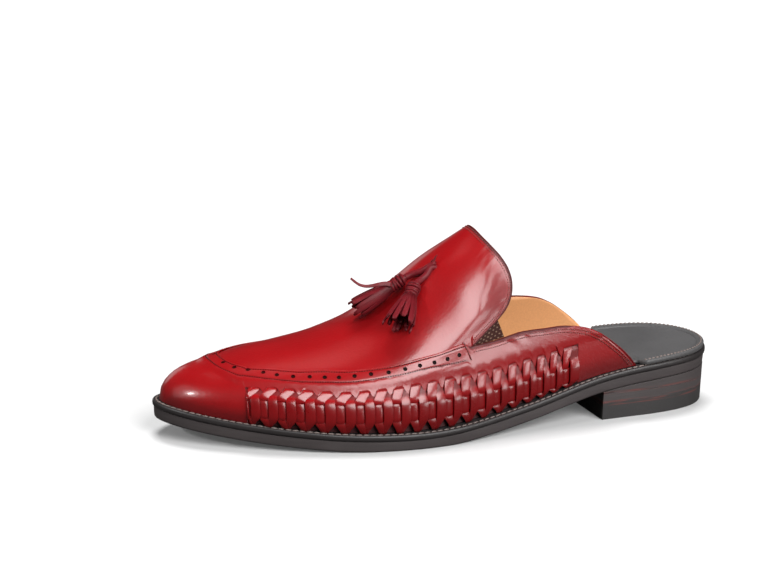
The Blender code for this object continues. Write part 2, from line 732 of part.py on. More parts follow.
def make_tassel(name):
    """Wrapped head and a flared skirt of leather strips, open at its end."""
    head, tip = (over_vamp(spot) for spot in TASSEL_SPOTS[name])
    axis = tip - head
    away = (tip - over_vamp(TASSEL_SPOTS[name][1][:2] + (0.0,))).normalized()
    across = axis.cross(away).normalized()
    away = across.cross(axis).normalized()

    def ring(along, scale=1.0, ragged=0.0):
        points = []
        for k in range(2 * STRIPS):
            angle = math.pi * k / STRIPS
            radius = TASSEL.at("radius", along) * scale * MM
            radius *= 1 - TASSEL.at("slit", along) * (k % 2)
            shift = ragged * math.sin(2.4 * (k // 2)) * (1 - k % 2)
            points.append(head + axis * (along + shift) + across * (radius * math.cos(angle))
                          + away * (radius * TASSEL_FLATNESS * math.sin(angle)))
        return points

    rings = [ring(along) for along in TASSEL.stations[:-1]] + [ring(1.0, ragged=0.035)]
    rings += [ring(along, scale) for along, scale in HOLLOW]
    shell = Shell()
    for low, high in zip(rings, rings[1:]):
        shell.rows(low + low[:1], high + high[:1])
    shell.face(rings[0])
    shell.face(rings[-1])
    return shell.finish("tassel_" + name, TASSEL_RED, 0.35)


def tube(points, radius):
    """Closed round bar along a smooth line through the points, as an evaluated mesh object."""
    curve = bpy.data.curves.new("lace_route", "CURVE")
    curve.dimensions = "3D"
    curve.bevel_depth = radius * MM
    curve.bevel_resolution = 2
    curve.use_fill_caps = True
    lengths = [0.0]
    for a, b in zip(points, points[1:]):
        lengths.append(lengths[-1] + (b - a).length)
    spline = curve.splines.new("POLY")
    spline.points.add(LACE_POINTS - 1)
    for k, target in enumerate(spline.points):
        reach = lengths[-1] * k / (LACE_POINTS - 1)
        target.co = [hermite(lengths, [p[i] for p in points], reach) for i in range(3)] + [1.0]
    route = bpy.data.objects.new("lace_route", curve)
    bpy.context.scene.collection.objects.link(route)
    mesh = bpy.data.meshes.new_from_object(route.evaluated_get(bpy.context.evaluated_depsgraph_get()))
    bpy.data.objects.remove(route, do_unlink=True)
    bm = bmesh.new()
    bm.from_mesh(mesh)
    bmesh.ops.remove_doubles(bm, verts=bm.verts, dist=1e-6)
    bmesh.ops.recalc_face_normals(bm, faces=bm.faces)
    bm.to_mesh(mesh)
    bm.free()
    return mesh


def make_lace():
    """Knot over the vamp with the thong's two ends, which carry the tassels, joined to it."""
    bm = bmesh.new()
    bmesh.ops.create_uvsphere(bm, u_segments=14, v_segments=8, radius=1.0)
    bmesh.ops.scale(bm, vec=Vector(KNOT_SIZE) * MM, verts=bm.verts)
    bmesh.ops.rotate(bm, matrix=TILT, verts=bm.verts)
    bmesh.ops.translate(bm, vec=over_vamp(KNOT), verts=bm.verts)
    knot = mesh_object("tassel_lace", bm, TASSEL_RED, 0.4)
    for name, spots in LACES.items():
        end = bpy.data.objects.new("cutter_lace_" + name, tube([over_vamp(s) for s in spots],
                                                              LACE_RADIUS))
        bpy.data.collections[CUTTERS].objects.link(end)
        end.hide_render = True
        end.display_type = "WIRE"
        join = knot.modifiers.new("join_" + name, "BOOLEAN")
        join.operation = "UNION"
        join.solver = "EXACT"
        join.object = end
    return knot


def build():
    for old in list(bpy.data.objects):
        bpy.data.objects.remove(old, do_unlink=True)
    for name in (COLLECTION, CUTTERS):
        bpy.context.scene.collection.children.link(bpy.data.collections.new(name))
    make_outsole()
    make_welt()
    make_insole()
    make_heel()
    make_upper()
    for side in (OUTER, INNER):
        make_gore(side)
    make_lace()
    for name in TASSEL_SPOTS:
        make_tassel(name)


build()
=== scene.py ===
"""Woven tassel mule, left shoe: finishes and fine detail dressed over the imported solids.

Tables are in millimetres: the station runs from the toe tip to the back of the heel, across is
sideways and height is above the floor. The girth coordinate runs over the last from the outer
feather line (0) across the ridge (1) to the inner feather line (2), and a share is the girth counted
from the feather line of either side. A lift is a distance over the last's surface. place() gives
metres.
"""
import math

import bmesh
import bpy
import numpy as np
from bpy.props import FloatProperty, FloatVectorProperty, IntProperty, PointerProperty
from mathutils import Euler, Matrix, Vector


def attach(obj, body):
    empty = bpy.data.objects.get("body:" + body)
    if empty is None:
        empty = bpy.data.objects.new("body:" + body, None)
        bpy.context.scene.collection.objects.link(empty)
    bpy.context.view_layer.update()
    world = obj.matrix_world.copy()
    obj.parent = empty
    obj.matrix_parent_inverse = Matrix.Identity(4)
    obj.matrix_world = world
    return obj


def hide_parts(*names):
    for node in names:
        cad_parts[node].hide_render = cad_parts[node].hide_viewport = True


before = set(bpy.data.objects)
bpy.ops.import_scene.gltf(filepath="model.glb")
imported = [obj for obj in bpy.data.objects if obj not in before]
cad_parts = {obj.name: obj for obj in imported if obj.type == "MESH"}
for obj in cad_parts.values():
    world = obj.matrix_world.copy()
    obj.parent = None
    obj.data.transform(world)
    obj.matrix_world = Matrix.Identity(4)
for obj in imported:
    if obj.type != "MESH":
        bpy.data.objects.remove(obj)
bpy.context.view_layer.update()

bl_info = {
    "name": "Woven tassel mule",
    "version": (1, 0, 0),
    "blender": (4, 5, 0),
    "location": "View3D > Sidebar > Mule",
    "description": "Dresses a leather slip-on shoe with woven sides, tassels and a welted sole",
    "category": "Add Mesh",
}

MM = 0.001
MERGE = 2e-6            # points closer than this, in metres, become one
OUTER, INNER = 0, 1     # the two sides of the shoe

# ---------------------------------------------------------------- sizes shared with the solids

LENGTH = 300.0          # welt, toe tip to back of heel
GAP = 0.3               # clearance between neighbouring pieces
WALL = 2.0              # vamp and quarter leather with its lining
TOE_SWING = 8.2         # how far the toe tip lies towards the inner side
SWING_END = 150.0       # station where that swing has died out
WELT_THICK = 3.2
WELT_WIDTH = 9.0
OUTSOLE_THICK = 5.5
OUTSOLE_INSET = 1.0     # outsole edge behind the welt's edge
INSOLE_RISE = 1.8       # insole surface above the welt
INSOLE_CLEAR = 0.7      # insole's edge inside the upper's wall
BARE_HEEL = 248.8       # station behind which the insole is bare
RIM_RUN = 4.0           # length over which the raised rim round the bare heel begins
RIM_EDGE = 0.8          # that rim's outer face behind the welt's edge
RIM_WIDE = 3.9
RIM_RISE = 2.7          # above the welt
HEEL_BREAST = 227.8     # station of the heel's front face
TOP_PIECE_HIGH = 9.2    # rubber top piece that meets the floor
LIFT_HIGH = 13.8        # top of the middle lift
HEEL_INSET = 0.9        # heel sides behind the welt's edge, at the top
HEEL_FOOT_INSET = 1.3   # and at the floor
NOTCH = 13              # weave unit whose column meets the notch beside the tongue
UNITS = 20              # woven units along each side
LEAN = 0.35             # lean of the strips' upper ends, as a share of one unit


def hermite(xs, ys, x):
    """Smooth curve through the points (xs, ys), held level beyond its ends."""
    x = np.clip(x, xs[0], xs[-1])
    steps = np.diff(xs)
    rates = np.diff(ys) / steps
    slopes = np.empty(len(xs))
    slopes[1:-1] = (steps[1:] * rates[:-1] + steps[:-1] * rates[1:]) / (steps[:-1] + steps[1:])
    slopes[0] = 1.5 * rates[0] - 0.5 * slopes[1]
    slopes[-1] = 1.5 * rates[-1] - 0.5 * slopes[-2]
    i = np.clip(np.searchsorted(xs, x, side="right") - 1, 0, len(steps) - 1)
    t = (x - xs[i]) / steps[i]
    rise = steps[i] * (t * (1 - t) ** 2 * slopes[i] - t * t * (1 - t) * slopes[i + 1])
    return (1 + 2 * t) * (1 - t) ** 2 * ys[i] + t * t * (3 - 2 * t) * ys[i + 1] + rise


class Table:
    """Rows of numbers under named columns, read smoothly along the first column.

    A column named in squared is read through its square, which rounds an end where it starts at 0.
    """

    def __init__(self, names, rows, squared=""):
        self.names = names.split()
        self.columns = dict(zip(self.names, np.array(rows, float).T))
        self.stations = self.columns[self.names[0]]
        self.squared = squared.split()

    def at(self, name, station):
        values = self.columns[name]
        if name in self.squared:
            return np.sqrt(np.maximum(hermite(self.stations, values ** 2, station), 0.0))
        return hermite(self.stations, values, station)

    def row(self, station):
        return [self.at(name, station) for name in self.names[1:]]


WELT = Table("station outer inner", [
    (0, 0.0, 0.0), (5, 12.0, 12.0), (10, 17.4, 17.4), (20, 24.9, 24.4), (40, 35.3, 33.8),
    (60, 43.3, 41.3), (80, 49.3, 46.8), (100, 52.7, 49.3), (120, 53.7, 48.3),
    (140, 51.7, 44.8), (160, 47.3, 40.8), (180, 42.8, 37.3), (200, 39.3, 35.3),
    (220, 36.8, 34.6), (240, 35.1, 34.3), (260, 33.6, 33.3), (275, 30.3, 30.3),
    (285, 25.9, 25.9), (293, 18.9, 18.9), (298, 10.4, 10.4), (300, 0.0, 0.0),
], squared="outer inner")
PROFILE = Table("station welt_top", [
    (0, 18.3), (45, 12.5), (95, 8.95), (138, 9.0), (185, 14.4), (230, 24.2), (300, 28.5),
])
LAST = Table("station outer inner ridge rise wall top flare", [
    (3.5, 0.0, 0.0, 8.2, 0.0, 0.60, 0.60, 0.0),
    (5, 6.5, 6.5, 8.2, 6.3, 0.60, 0.60, 0.9),
    (8, 11.5, 11.5, 8.2, 10.6, 0.62, 0.62, 1.8),
    (13, 16.8, 16.5, 8.0, 15.1, 0.64, 0.62, 2.2),
    (20, 22.0, 21.3, 7.6, 18.9, 0.66, 0.62, 2.6),
    (32, 28.8, 27.4, 6.7, 23.3, 0.68, 0.60, 3.1),
    (50, 37.0, 34.6, 5.4, 29.1, 0.68, 0.58, 3.5),
    (70, 43.8, 40.4, 4.2, 34.0, 0.66, 0.54, 4.0),
    (90, 48.2, 43.8, 3.2, 40.1, 0.64, 0.50, 4.4),
    (110, 50.0, 43.6, 2.4, 50.1, 0.62, 0.46, 4.4),
    (130, 48.4, 40.4, 1.8, 65.7, 0.60, 0.44, 3.3),
    (150, 44.6, 37.2, 1.2, 78.9, 0.58, 0.42, 2.2),
    (168, 40.6, 34.2, 0.8, 88.2, 0.58, 0.42, 1.1),
    (185, 37.2, 32.2, 0.5, 92.1, 0.58, 0.42, 0.7),
    (205, 34.4, 31.0, 0.2, 89.9, 0.58, 0.42, 0.4),
    (225, 32.6, 30.8, 0.0, 85.4, 0.58, 0.42, 0.4),
    (250, 31.0, 30.4, 0.0, 80.5, 0.58, 0.42, 0.4),
], squared="outer inner rise")
TOE_POLE = 3.5          # station where the last's lines meet at the toe
WEAVE = Table("station edge band_top band_foot", [
    (34, 0.420, 0.280, 0.130), (50, 0.392, 0.248, 0.118), (80, 0.314, 0.216, 0.118),
    (104, 0.275, 0.183, 0.112), (124, 0.228, 0.138, 0.083), (144, 0.188, 0.108, 0.063),
    (164, 0.156, 0.084, 0.046), (185, 0.140, 0.073, 0.030), (212, 0.132, 0.062, 0.020),
])
APRON = Table("station band_low band_high", [
    (38, 0.580, 0.680), (48, 0.505, 0.620), (62, 0.448, 0.550), (75, 0.418, 0.517),
    (91, 0.382, 0.458), (104, 0.361, 0.421), (117, 0.325, 0.380), (131, 0.286, 0.338),
    (148, 0.249, 0.310), (158, 0.240, 0.294),
])
TONGUE = Table("share edge", [
    (0.294, 151.5), (0.305, 155.5), (0.319, 160.0), (0.337, 166.5), (0.367, 172.8),
    (0.403, 176.1), (0.460, 177.7), (0.523, 177.0), (0.601, 174.4), (0.691, 170.8),
    (0.812, 167.2), (0.938, 165.5), (1.0, 165.2),
])
TOPLINE = Table("station share", [
    (151.5, 0.294), (165, 0.265), (180, 0.253), (194.5, 0.234), (203, 0.225), (211, 0.209),
])
QUARTER_BACK = Table("rise station", [
    (0.0, 247.5), (0.10, 245.4), (0.33, 239.5), (0.56, 232.3), (0.77, 224.7), (0.91, 217.8),
    (1.0, 211.0),
])
COLUMNS = Table("unit edge apron", [
    (0, 37.5, 37.5), (3, 61.5, 60.5), (6, 89.5, 87.5), (9, 117.0, 114.5), (13, 155.5, 151.5),
    (16, 182.5, 178.0), (20, 213.0, 206.0),
])
# Columns 0 to 5 fan round the toe; column 6 is unit 0 of the weave.
TOE_FAN = Table("column feather low_station low_share high_station high_share", [
    (0, TOE_POLE, 28.4, 1.0, 33.6, 1.0), (1, 5.2, 28.6, 0.92, 33.8, 0.93),
    (2, 9.0, 29.2, 0.83, 34.4, 0.86), (3, 14.5, 30.6, 0.75, 35.6, 0.80),
    (4, 21.5, 32.6, 0.68, 37.4, 0.745), (5, 29.5, 35.4, 0.61, 39.6, 0.70),
    (6, 37.5, 37.5, 0.58, 41.1, 0.661),
])
GORE = Table("along low_station low_share high_station high_share", [
    (0.0, 147.0, 0.255, 147.0, 0.335), (0.5, 160.0, 0.228, 156.5, 0.372),
    (1.0, 173.0, 0.215, 165.5, 0.405),
])
GORE_DEPTH = WALL + 0.6
FAN = 6                 # columns of the toe fan in front of the weave
NOTCH_SHARE = TONGUE.stations[0]
QUARTER_END = TOPLINE.stations[-1]
QUARTER_END_SHARE = TOPLINE.columns["share"][-1]


# ---------------------------------------------------------------- the shoe's shape

def toe_swing(station):
    return TOE_SWING * np.clip((SWING_END - station) / SWING_END, 0, 1) ** 2


def rim(side, angle):
    """Place on the welt's edge; the angle runs from 0 at the toe tip to pi at the back of the heel."""
    station = LENGTH / 2 * (1 - np.cos(angle))
    half = WELT.at("inner", station) if side == INNER else -WELT.at("outer", station)
    return station, toe_swing(station) + half


def angle_at(station):
    return math.acos(1 - 2 * station / LENGTH)


RIM_ANGLES = np.pi * np.arange(1, 200) / 200
MIDDLE = (rim(OUTER, RIM_ANGLES)[1].min() + rim(INNER, RIM_ANGLES)[1].max()) / 2
ORIGIN = np.array([LENGTH / 2, MIDDLE, 0.0])


def place(points):
    return (np.asarray(points, float) - ORIGIN) * MM


END_ANGLE = 0.012       # nearer than this to the toe tip or the heel's back the edge runs square across


def inset_rim(side, angle, inset):
    """The welt's edge moved inwards along its own normal; both sides meet at the two ends."""
    clear = np.clip(angle, END_ANGLE, np.pi - END_ANGLE)
    x0, y0 = rim(side, clear - 0.004)
    x1, y1 = rim(side, clear + 0.004)
    along = np.hypot(x1 - x0, y1 - y0)
    turn = 1 if side == INNER else -1
    x, y = rim(side, clear)
    x = x + turn * inset * (y1 - y0) / along
    y = y - turn * inset * (x1 - x0) / along
    ends = (np.asarray(angle) < END_ANGLE) | (np.asarray(angle) > np.pi - END_ANGLE)
    tips = np.where(np.asarray(angle) < 1, inset, LENGTH - inset)
    return np.where(ends, tips, x), np.where(ends, toe_swing(x), y)


def welt_top(station):
    return PROFILE.at("welt_top", station)


def outsole_top(station):
    return welt_top(station) - WELT_THICK - GAP


def outsole_foot(station):
    return np.maximum(outsole_top(station) - OUTSOLE_THICK, 0.0)


def last_point(girth, station):
    """Millimetre points on the last: a smooth arch from the feather line over wall and crown."""
    share = np.where(girth <= 1, girth, 2 - girth)
    half = np.where(girth <= 1, -LAST.at("outer", station), LAST.at("inner", station))
    ridge, rise, wall, top, flare = (LAST.at(name, station) for name in LAST.names[3:])
    foot = toe_swing(station) + half
    base = welt_top(station) + GAP
    bulge = foot + np.where(girth <= 1, -flare, flare)
    crown = ridge + (foot - ridge) * top
    rest = 1 - share
    at_foot = rest ** 3
    at_wall = 3 * share * rest ** 2
    at_crown = 3 * share ** 2 * rest
    at_ridge = share ** 3
    across = at_foot * foot + at_wall * bulge + at_crown * crown + at_ridge * ridge
    height = base + rise * (at_wall * wall + at_crown + at_ridge)
    return np.stack([station, across, height], -1)


def unit_vectors(vectors):
    return vectors / np.maximum(np.linalg.norm(vectors, axis=-1, keepdims=True), 1e-9)


FEATHER_GIRTH = 0.001   # a girth this near to 0 or 2 lies on the feather line
GIRTH_STEP = 0.02       # steps between which the surface's direction is measured
STATION_STEP = 0.3


def on_feather(girth):
    return (girth <= FEATHER_GIRTH) | (girth >= 2 - FEATHER_GIRTH)


def at_pole(station):
    return station <= TOE_POLE + 0.01


def last_normal(girth, station):
    """Unit vectors out of the last: level on the feather line and straight forward at the toe."""
    near = np.maximum(station, TOE_POLE + STATION_STEP)
    up = (last_point(np.minimum(girth + GIRTH_STEP, 2.0), near)
          - last_point(np.maximum(girth - GIRTH_STEP, 0.0), near))
    along = last_point(girth, near + STATION_STEP) - last_point(girth, near - 0.25)
    normal = np.cross(along, up)
    normal[..., 2] *= ~on_feather(girth)
    normal = unit_vectors(normal)
    return np.where(at_pole(station)[..., None], np.array([-1.0, 0.0, 0.0]), normal)


def skin(girth, station, lift=0.0):
    """Millimetre points over (or, with a negative lift, under) the last's surface."""
    girth, station, lift = np.broadcast_arrays(*(np.asarray(v, float) for v in (girth, station, lift)))
    station = np.maximum(station, TOE_POLE)
    moved = last_point(girth, station) + last_normal(girth, station) * lift[..., None]
    seated = on_feather(girth) | at_pole(station)
    moved[..., 2] = np.where(seated, welt_top(moved[..., 0]) + GAP, moved[..., 2])
    return moved


def girth_of(side, share):
    return share if side == OUTER else 2 - share


def girth_length(station):
    """Millimetres from the feather line to the ridge, nearly."""
    return 1.12 * np.hypot(LAST.at("outer", station), LAST.at("rise", station))


def smooth(value, low=0.0, high=1.0):
    """0 below low, 1 above high, and an even swing between them."""
    t = np.clip((value - low) / (high - low), 0, 1)
    return t * t * (3 - 2 * t)


# ---------------------------------------------------------------- lines drawn on the upper

def strap_station(unit):
    """Station of a weave unit, counted where the straps cross the band."""
    unit = np.clip(unit, 0, UNITS)
    reach = (COLUMNS.at("edge", np.minimum(unit + 0.5, UNITS))
             - COLUMNS.at("edge", np.maximum(unit - 0.5, 0)))
    ends = np.clip(2 * np.minimum(unit, UNITS - unit), 0, 1)
    return COLUMNS.at("edge", unit) - LEAN * reach * ends


def level_share(level, station):
    """Share of the girth at a level of the weave: 0 feather, 1 band foot, 2 band top, 3 edge."""
    edge, top, foot = WEAVE.row(station)
    return (foot * np.clip(level, 0, 1) + (top - foot) * np.clip(level - 1, 0, 1)
            + (edge - top) * np.maximum(level - 2, 0))


# How far the straps lean back above the band, in units: strongly by the toe, not at all behind.
SLANT = Table("unit slant", [(0, 0.42), (3, 0.38), (6, 0.18), (9, 0.0), (20, 0.0)])

# The leather's cut edge above the weave: a slit for one strap, then a slanted slit for the other.
SLIT_PLACES = (0.0, 0.03, 0.20, 0.74, 1.0)
SLIT_LEVELS = (2.42, 2.38, 3.0, 3.0, 2.42)
SLIT_COLUMNS = (0.03, 0.115, 0.20, 0.38, 0.56, 0.74, 0.82, 0.90, 0.97)
UNCUT_FRONT = 0.4       # units at the weave's two ends whose edge has no slit
UNCUT_REAR = 0.26
EDGE_LEVEL = 3.0


def slit_share(unit):
    level = np.interp((unit - SLANT.at("slant", unit)) % 1.0, SLIT_PLACES, SLIT_LEVELS)
    level = np.where((unit < UNCUT_FRONT) | (unit > UNITS - UNCUT_REAR), EDGE_LEVEL, level)
    return level_share(level, strap_station(unit))


def blend(a, b, weight):
    return tuple((1 - weight) * p + weight * q for p, q in zip(a, b))


EDGE_MARGIN = 0.22      # the apron's edge beyond the upper row of stitches, in band widths
BAND_SKEW = 3.6         # how far the band's upper row starts behind the lower one, in millimetres
SKEW_UNITS = 2.2        # units over which that dies away
APRON_END = (12.35, 12.95)      # units over which the band runs out into the quarter
QUARTER_ROWS = (0.5, 0.82)      # where its two rows run on, from the slits (0) to the topline (1)


def behind_apron(unit):
    return smooth(unit, *APRON_END)


def band_spots(column):
    """((station, share) of the band's lower row, of its upper row, and of the leather's top edge)."""
    unit = np.maximum(column - FAN, 0.0)
    apron = COLUMNS.at("apron", unit)
    skewed = apron + BAND_SKEW * np.exp(-unit / SKEW_UNITS)
    fan = column < FAN
    low = (np.where(fan, TOE_FAN.at("low_station", column), apron),
           np.where(fan, TOE_FAN.at("low_share", column), APRON.at("band_low", apron)))
    high = (np.where(fan, TOE_FAN.at("high_station", column), skewed),
            np.where(fan, TOE_FAN.at("high_share", column), APRON.at("band_high", skewed)))
    edge = blend(low, high, 1 + EDGE_MARGIN)
    edge = (edge[0], np.minimum(edge[1], 1.0))
    behind = behind_apron(unit)
    top = TOPLINE.at("share", apron)
    slit = slit_share(unit)
    low = blend(low, (apron, slit + QUARTER_ROWS[0] * (top - slit)), behind)
    high = blend(high, (apron, slit + QUARTER_ROWS[1] * (top - slit)), behind)
    return low, high, blend(edge, (apron, top), behind)


LOW_ROWS = 9
MID_ROWS = 8
BAND_ROWS = (0.0, 0.09, 0.18, 0.36, 0.64, 0.82, 0.91, 1.0)
EDGE_ROWS = (0.1, 0.35, 0.8, 1.0)
SLIT_ROW = 1 + LOW_ROWS         # first row of leather above the slits
LOW_ROW = SLIT_ROW + 1 + MID_ROWS
HIGH_ROW = LOW_ROW + len(BAND_ROWS) - 1
TOP_ROW = HIGH_ROW + len(EDGE_ROWS)
LIP_STEPS = (0.003, 0.009)      # share by which the first two rows above the slits clear them
FAN_LIP_STEPS = (0.01, 0.03)    # the same round the toe, of what is left of the spoke
FAN_SLIT = 0.72         # where on a spoke the slits' row lies
POLE_BEND = 40          # how steeply the spokes leave the middle of the toe
POLE_REACH = 0.12       # in columns
RECESS = 1.35           # depth of the leather behind the straps
RECESS_RUN = 0.35       # units over which it starts and ends
APRON_RISE = 0.75
QUARTER_SINK = 0.55     # share of that rise which is lost behind the band
SEAM_GROOVE = 0.22      # how deep the stitches are drawn in
EDGE_ROLL = 0.25        # how far the top edge turns down
TUCK = 0.8              # how far the lowest row is turned in under the last


def side_spot(column, row):
    """(station, share, lift) of the side leather: rows run from the feather to the top edge."""
    unit = np.maximum(column - FAN, 0.0)
    base_unit = np.minimum(unit, UNITS)
    back = np.clip(unit - UNITS, 0, 1)
    low, high, edge = band_spots(np.minimum(column, FAN + UNITS))
    fan = column < FAN
    feather = np.where(fan, TOE_FAN.at("feather", column), strap_station(base_unit))
    slit = slit_share(base_unit)
    inside = (unit > 0.001) & (unit < UNITS - 0.001)
    bend = np.maximum(3 - 2 * column / 5, 1.0) + POLE_BEND * np.exp(-column / POLE_REACH) * fan
    below = np.clip((row - 1) / (LOW_ROWS - 1), 0, 1)
    above = np.clip((row - SLIT_ROW - 1) / MID_ROWS, 0, 1)
    step = np.where(row <= SLIT_ROW, *LIP_STEPS)
    # round the toe the rows follow spokes from the feather to the band
    first, second = FAN_LIP_STEPS
    upper = np.where(row == SLIT_ROW, first, second + (1 - second) * above)
    spoke = np.where(row < SLIT_ROW, FAN_SLIT * below, FAN_SLIT + (1 - FAN_SLIT) * upper)
    fan_station = feather + (low[0] - feather) * spoke
    fan_share = low[1] * (1 - (1 - spoke) ** bend)
    fan_share = np.where(column < 1e-6, 1.0, fan_share)
    # behind it they run up the wall to the slits, then on to the band
    wall_share = np.where(row < SLIT_ROW, slit * below, slit + step + (low[1] - slit - step) * above)
    wall_station = feather + (low[0] - feather) * above
    station = np.where(fan, fan_station, wall_station)
    share = np.where(fan, fan_share, wall_share)
    across = np.interp(row - LOW_ROW, range(len(BAND_ROWS)), BAND_ROWS)
    beyond = np.interp(row - HIGH_ROW, range(len(EDGE_ROWS) + 1), (0.0,) + EDGE_ROWS)
    band = blend(blend(low, high, across), edge, beyond)
    station = np.where(row > LOW_ROW, band[0], station)
    share = np.where(row > LOW_ROW, band[1], share)
    # the last columns swing over to the quarter's slanted back edge
    rise = share / np.maximum(edge[1], 1e-6)
    end = QUARTER_BACK.at("station", rise)
    station = station + (end - station) * back
    share = share + (QUARTER_END_SHARE * rise - share) * back
    start = level_share(EDGE_LEVEL, station)
    raised = np.where(fan, above, np.clip((share - start) / np.maximum(low[1] - start, 0.02), 0, 1))
    lift = side_lift(column, row, inside, smooth(raised, 0.0, 0.8))
    return station, share, lift


def side_lift(column, row, inside, raised):
    """Lift of the side leather: the raised apron band, its seams, and the recess behind the straps."""
    unit = np.maximum(column - FAN, 0.0)
    behind = behind_apron(unit)
    lift = APRON_RISE * raised * (1 - QUARTER_SINK * behind)
    for stitched in (LOW_ROW, HIGH_ROW):
        lift = lift - SEAM_GROOVE * np.exp(-((row - stitched) / 0.7) ** 2) * (1 - behind)
    lift = np.where(row == TOP_ROW, lift - EDGE_ROLL, lift)
    from_end = np.minimum(unit, UNITS - unit)
    depth = RECESS * (0.25 + 0.75 * smooth(from_end, 0.0, RECESS_RUN))
    recess = np.where(row < SLIT_ROW, -depth, np.where(row == SLIT_ROW, -depth / 3, lift))
    lift = np.where(inside & (row <= SLIT_ROW), recess, lift)
    return np.where(row == 0, lift - TUCK, lift)


def side_columns():
    """Columns of the side leather: even round the toe, then close together at every slit."""
    toe = np.linspace(0, FAN, 43)[:-1]
    edges = np.array([FAN - 0.03, FAN, FAN + 0.002])
    units = FAN + np.array([k + place_in for k in range(UNITS) for place_in in SLIT_COLUMNS])
    units = units[units < FAN + UNITS - 0.05]
    rear = FAN + UNITS + np.array([-0.04, -0.002, 0.0, 0.02, 0.15, 0.3, 0.45, 0.6, 0.75, 0.9, 1.0])
    return np.unique(np.concatenate([toe, edges, units, rear, [FAN + NOTCH]]))


def ridge_station(column):
    """Where a column of the vamp ends on the ridge, evenly spaced behind the apron."""
    first, last = TOE_FAN.columns["high_station"][0], COLUMNS.at("apron", NOTCH)
    return first + (last - first) * column / (FAN + NOTCH)


OVERLAP = 0.35          # how far the vamp runs under the apron, in band widths
QUARTER_OVERLAP = 0.03  # and under the quarter, as a share
LAPPED = 0.06           # part of the vamp's rows that lies under them


def vamp_spot(column, across):
    """(station, share) of the vamp: across runs from under the apron (0) to the ridge (1)."""
    low, high, edge = band_spots(column)
    start = blend(low, high, 1 - OVERLAP)
    start = blend(start, (edge[0], edge[1] - QUARTER_OVERLAP), behind_apron(column - FAN))
    seen = np.clip((across - LAPPED) / (1 - LAPPED), 0, 1)
    line = blend(edge, (ridge_station(column), 1.0), seen)
    under = np.clip(across / LAPPED, 0, 1)
    return tuple(s + (e - s) * under for s, e in zip(start, line))


def tongue_spot(share, along):
    """(station, share) of the tongue: along runs from the vamp (0) to the tongue's edge (1)."""
    start = COLUMNS.at("apron", NOTCH)
    return start + (TONGUE.at("edge", share) - start) * along, share


# Soft creases pressed in: station, girth, length, width, depth, turn in degrees.
CREASES = (
    (171, 0.40, 8, 1.2, 0.18, -24), (169, 0.445, 9, 1.1, 0.20, -6), (167, 0.48, 8, 1.1, 0.22, 30),
    (170, 0.52, 10, 1.1, 0.20, 8), (165, 0.545, 9, 1.2, 0.22, 52), (168, 0.59, 10, 1.2, 0.20, 28),
    (165, 0.64, 9, 1.3, 0.18, 60), (167, 0.70, 10, 1.5, 0.16, 34), (161, 0.49, 8, 1.1, 0.16, 40),
    (158, 0.44, 7, 1.1, 0.14, 66), (163, 0.42, 7, 1.0, 0.16, 20), (163, 1.08, 12, 2.0, 0.22, -10),
    (165, 1.2, 12, 1.8, 0.24, -22), (168, 1.3, 12, 1.8, 0.24, -26), (171, 1.42, 10, 1.8, 0.22, -18),
    (172, 0.235, 9, 1.5, 0.30, -34), (181, 0.236, 7, 1.4, 0.20, -40), (228, 0.14, 14, 2.4, 0.25, 70),
    (222, 1.87, 13, 2.2, 0.25, -70), (184, 1.80, 20, 2.6, 0.35, -6),
    (120, 0.86, 26, 5.0, 0.28, 70), (128, 1.05, 30, 5.5, 0.30, 86), (119, 1.25, 26, 5.0, 0.26, 104),
)


SWELL = 2.0             # how high the leather swells in front of the tongue's edge
SWELL_PLACE = 24        # how far from the edge it is highest
SWELL_WIDTH = 13
TURN_DOWN = 1.2         # how far the edge itself turns down
TURN_RUN = 16           # over this distance


def tongue_gap(share, station):
    """Distance in front of the tongue's edge, and 0 behind it."""
    return np.maximum(TONGUE.at("edge", share) - station, 0.0)


def tongue_roll(girth, share, gap):
    """Lift of the rolled edge, which is flatter over the ridge and on the inner side."""
    from_notch = smooth(share, 0.30, 0.42)
    over_ridge = 1 - 0.7 * smooth(share, 0.75, 0.95)
    inner_side = 1 - 0.5 * smooth(girth, 0.9, 1.25)
    swell = SWELL * np.exp(-((gap - SWELL_PLACE) / SWELL_WIDTH) ** 2)
    return from_notch * over_ridge * inner_side * (swell - TURN_DOWN * (1 - smooth(gap, 0, TURN_RUN)))


def creases(girth, station):
    """Lift in millimetres: the tongue's rolled edge, and a trough beside a low ridge at each crease."""
    share = np.minimum(girth, 2 - girth)
    total = tongue_roll(girth, share, tongue_gap(share, station))
    for at, over, length, width, depth, turn in CREASES:
        ahead, aside = station - at, (girth - over) * girth_length(np.asarray(at, float))
        cosine, sine = math.cos(math.radians(turn)), math.sin(math.radians(turn))
        run = ahead * cosine + aside * sine
        off = aside * cosine - ahead * sine
        fade = np.exp(-(run / (0.5 * length)) ** 2)
        trough = np.exp(-(off / width) ** 2) - 0.6 * np.exp(-((off - 1.6 * width) / width) ** 2)
        total = total - depth * fade * trough
    return total


# ---------------------------------------------------------------- mesh building

def new_mesh():
    bm = bmesh.new()
    bm.loops.layers.uv.new("flow")
    bm.verts.layers.float.new("shade")
    return bm


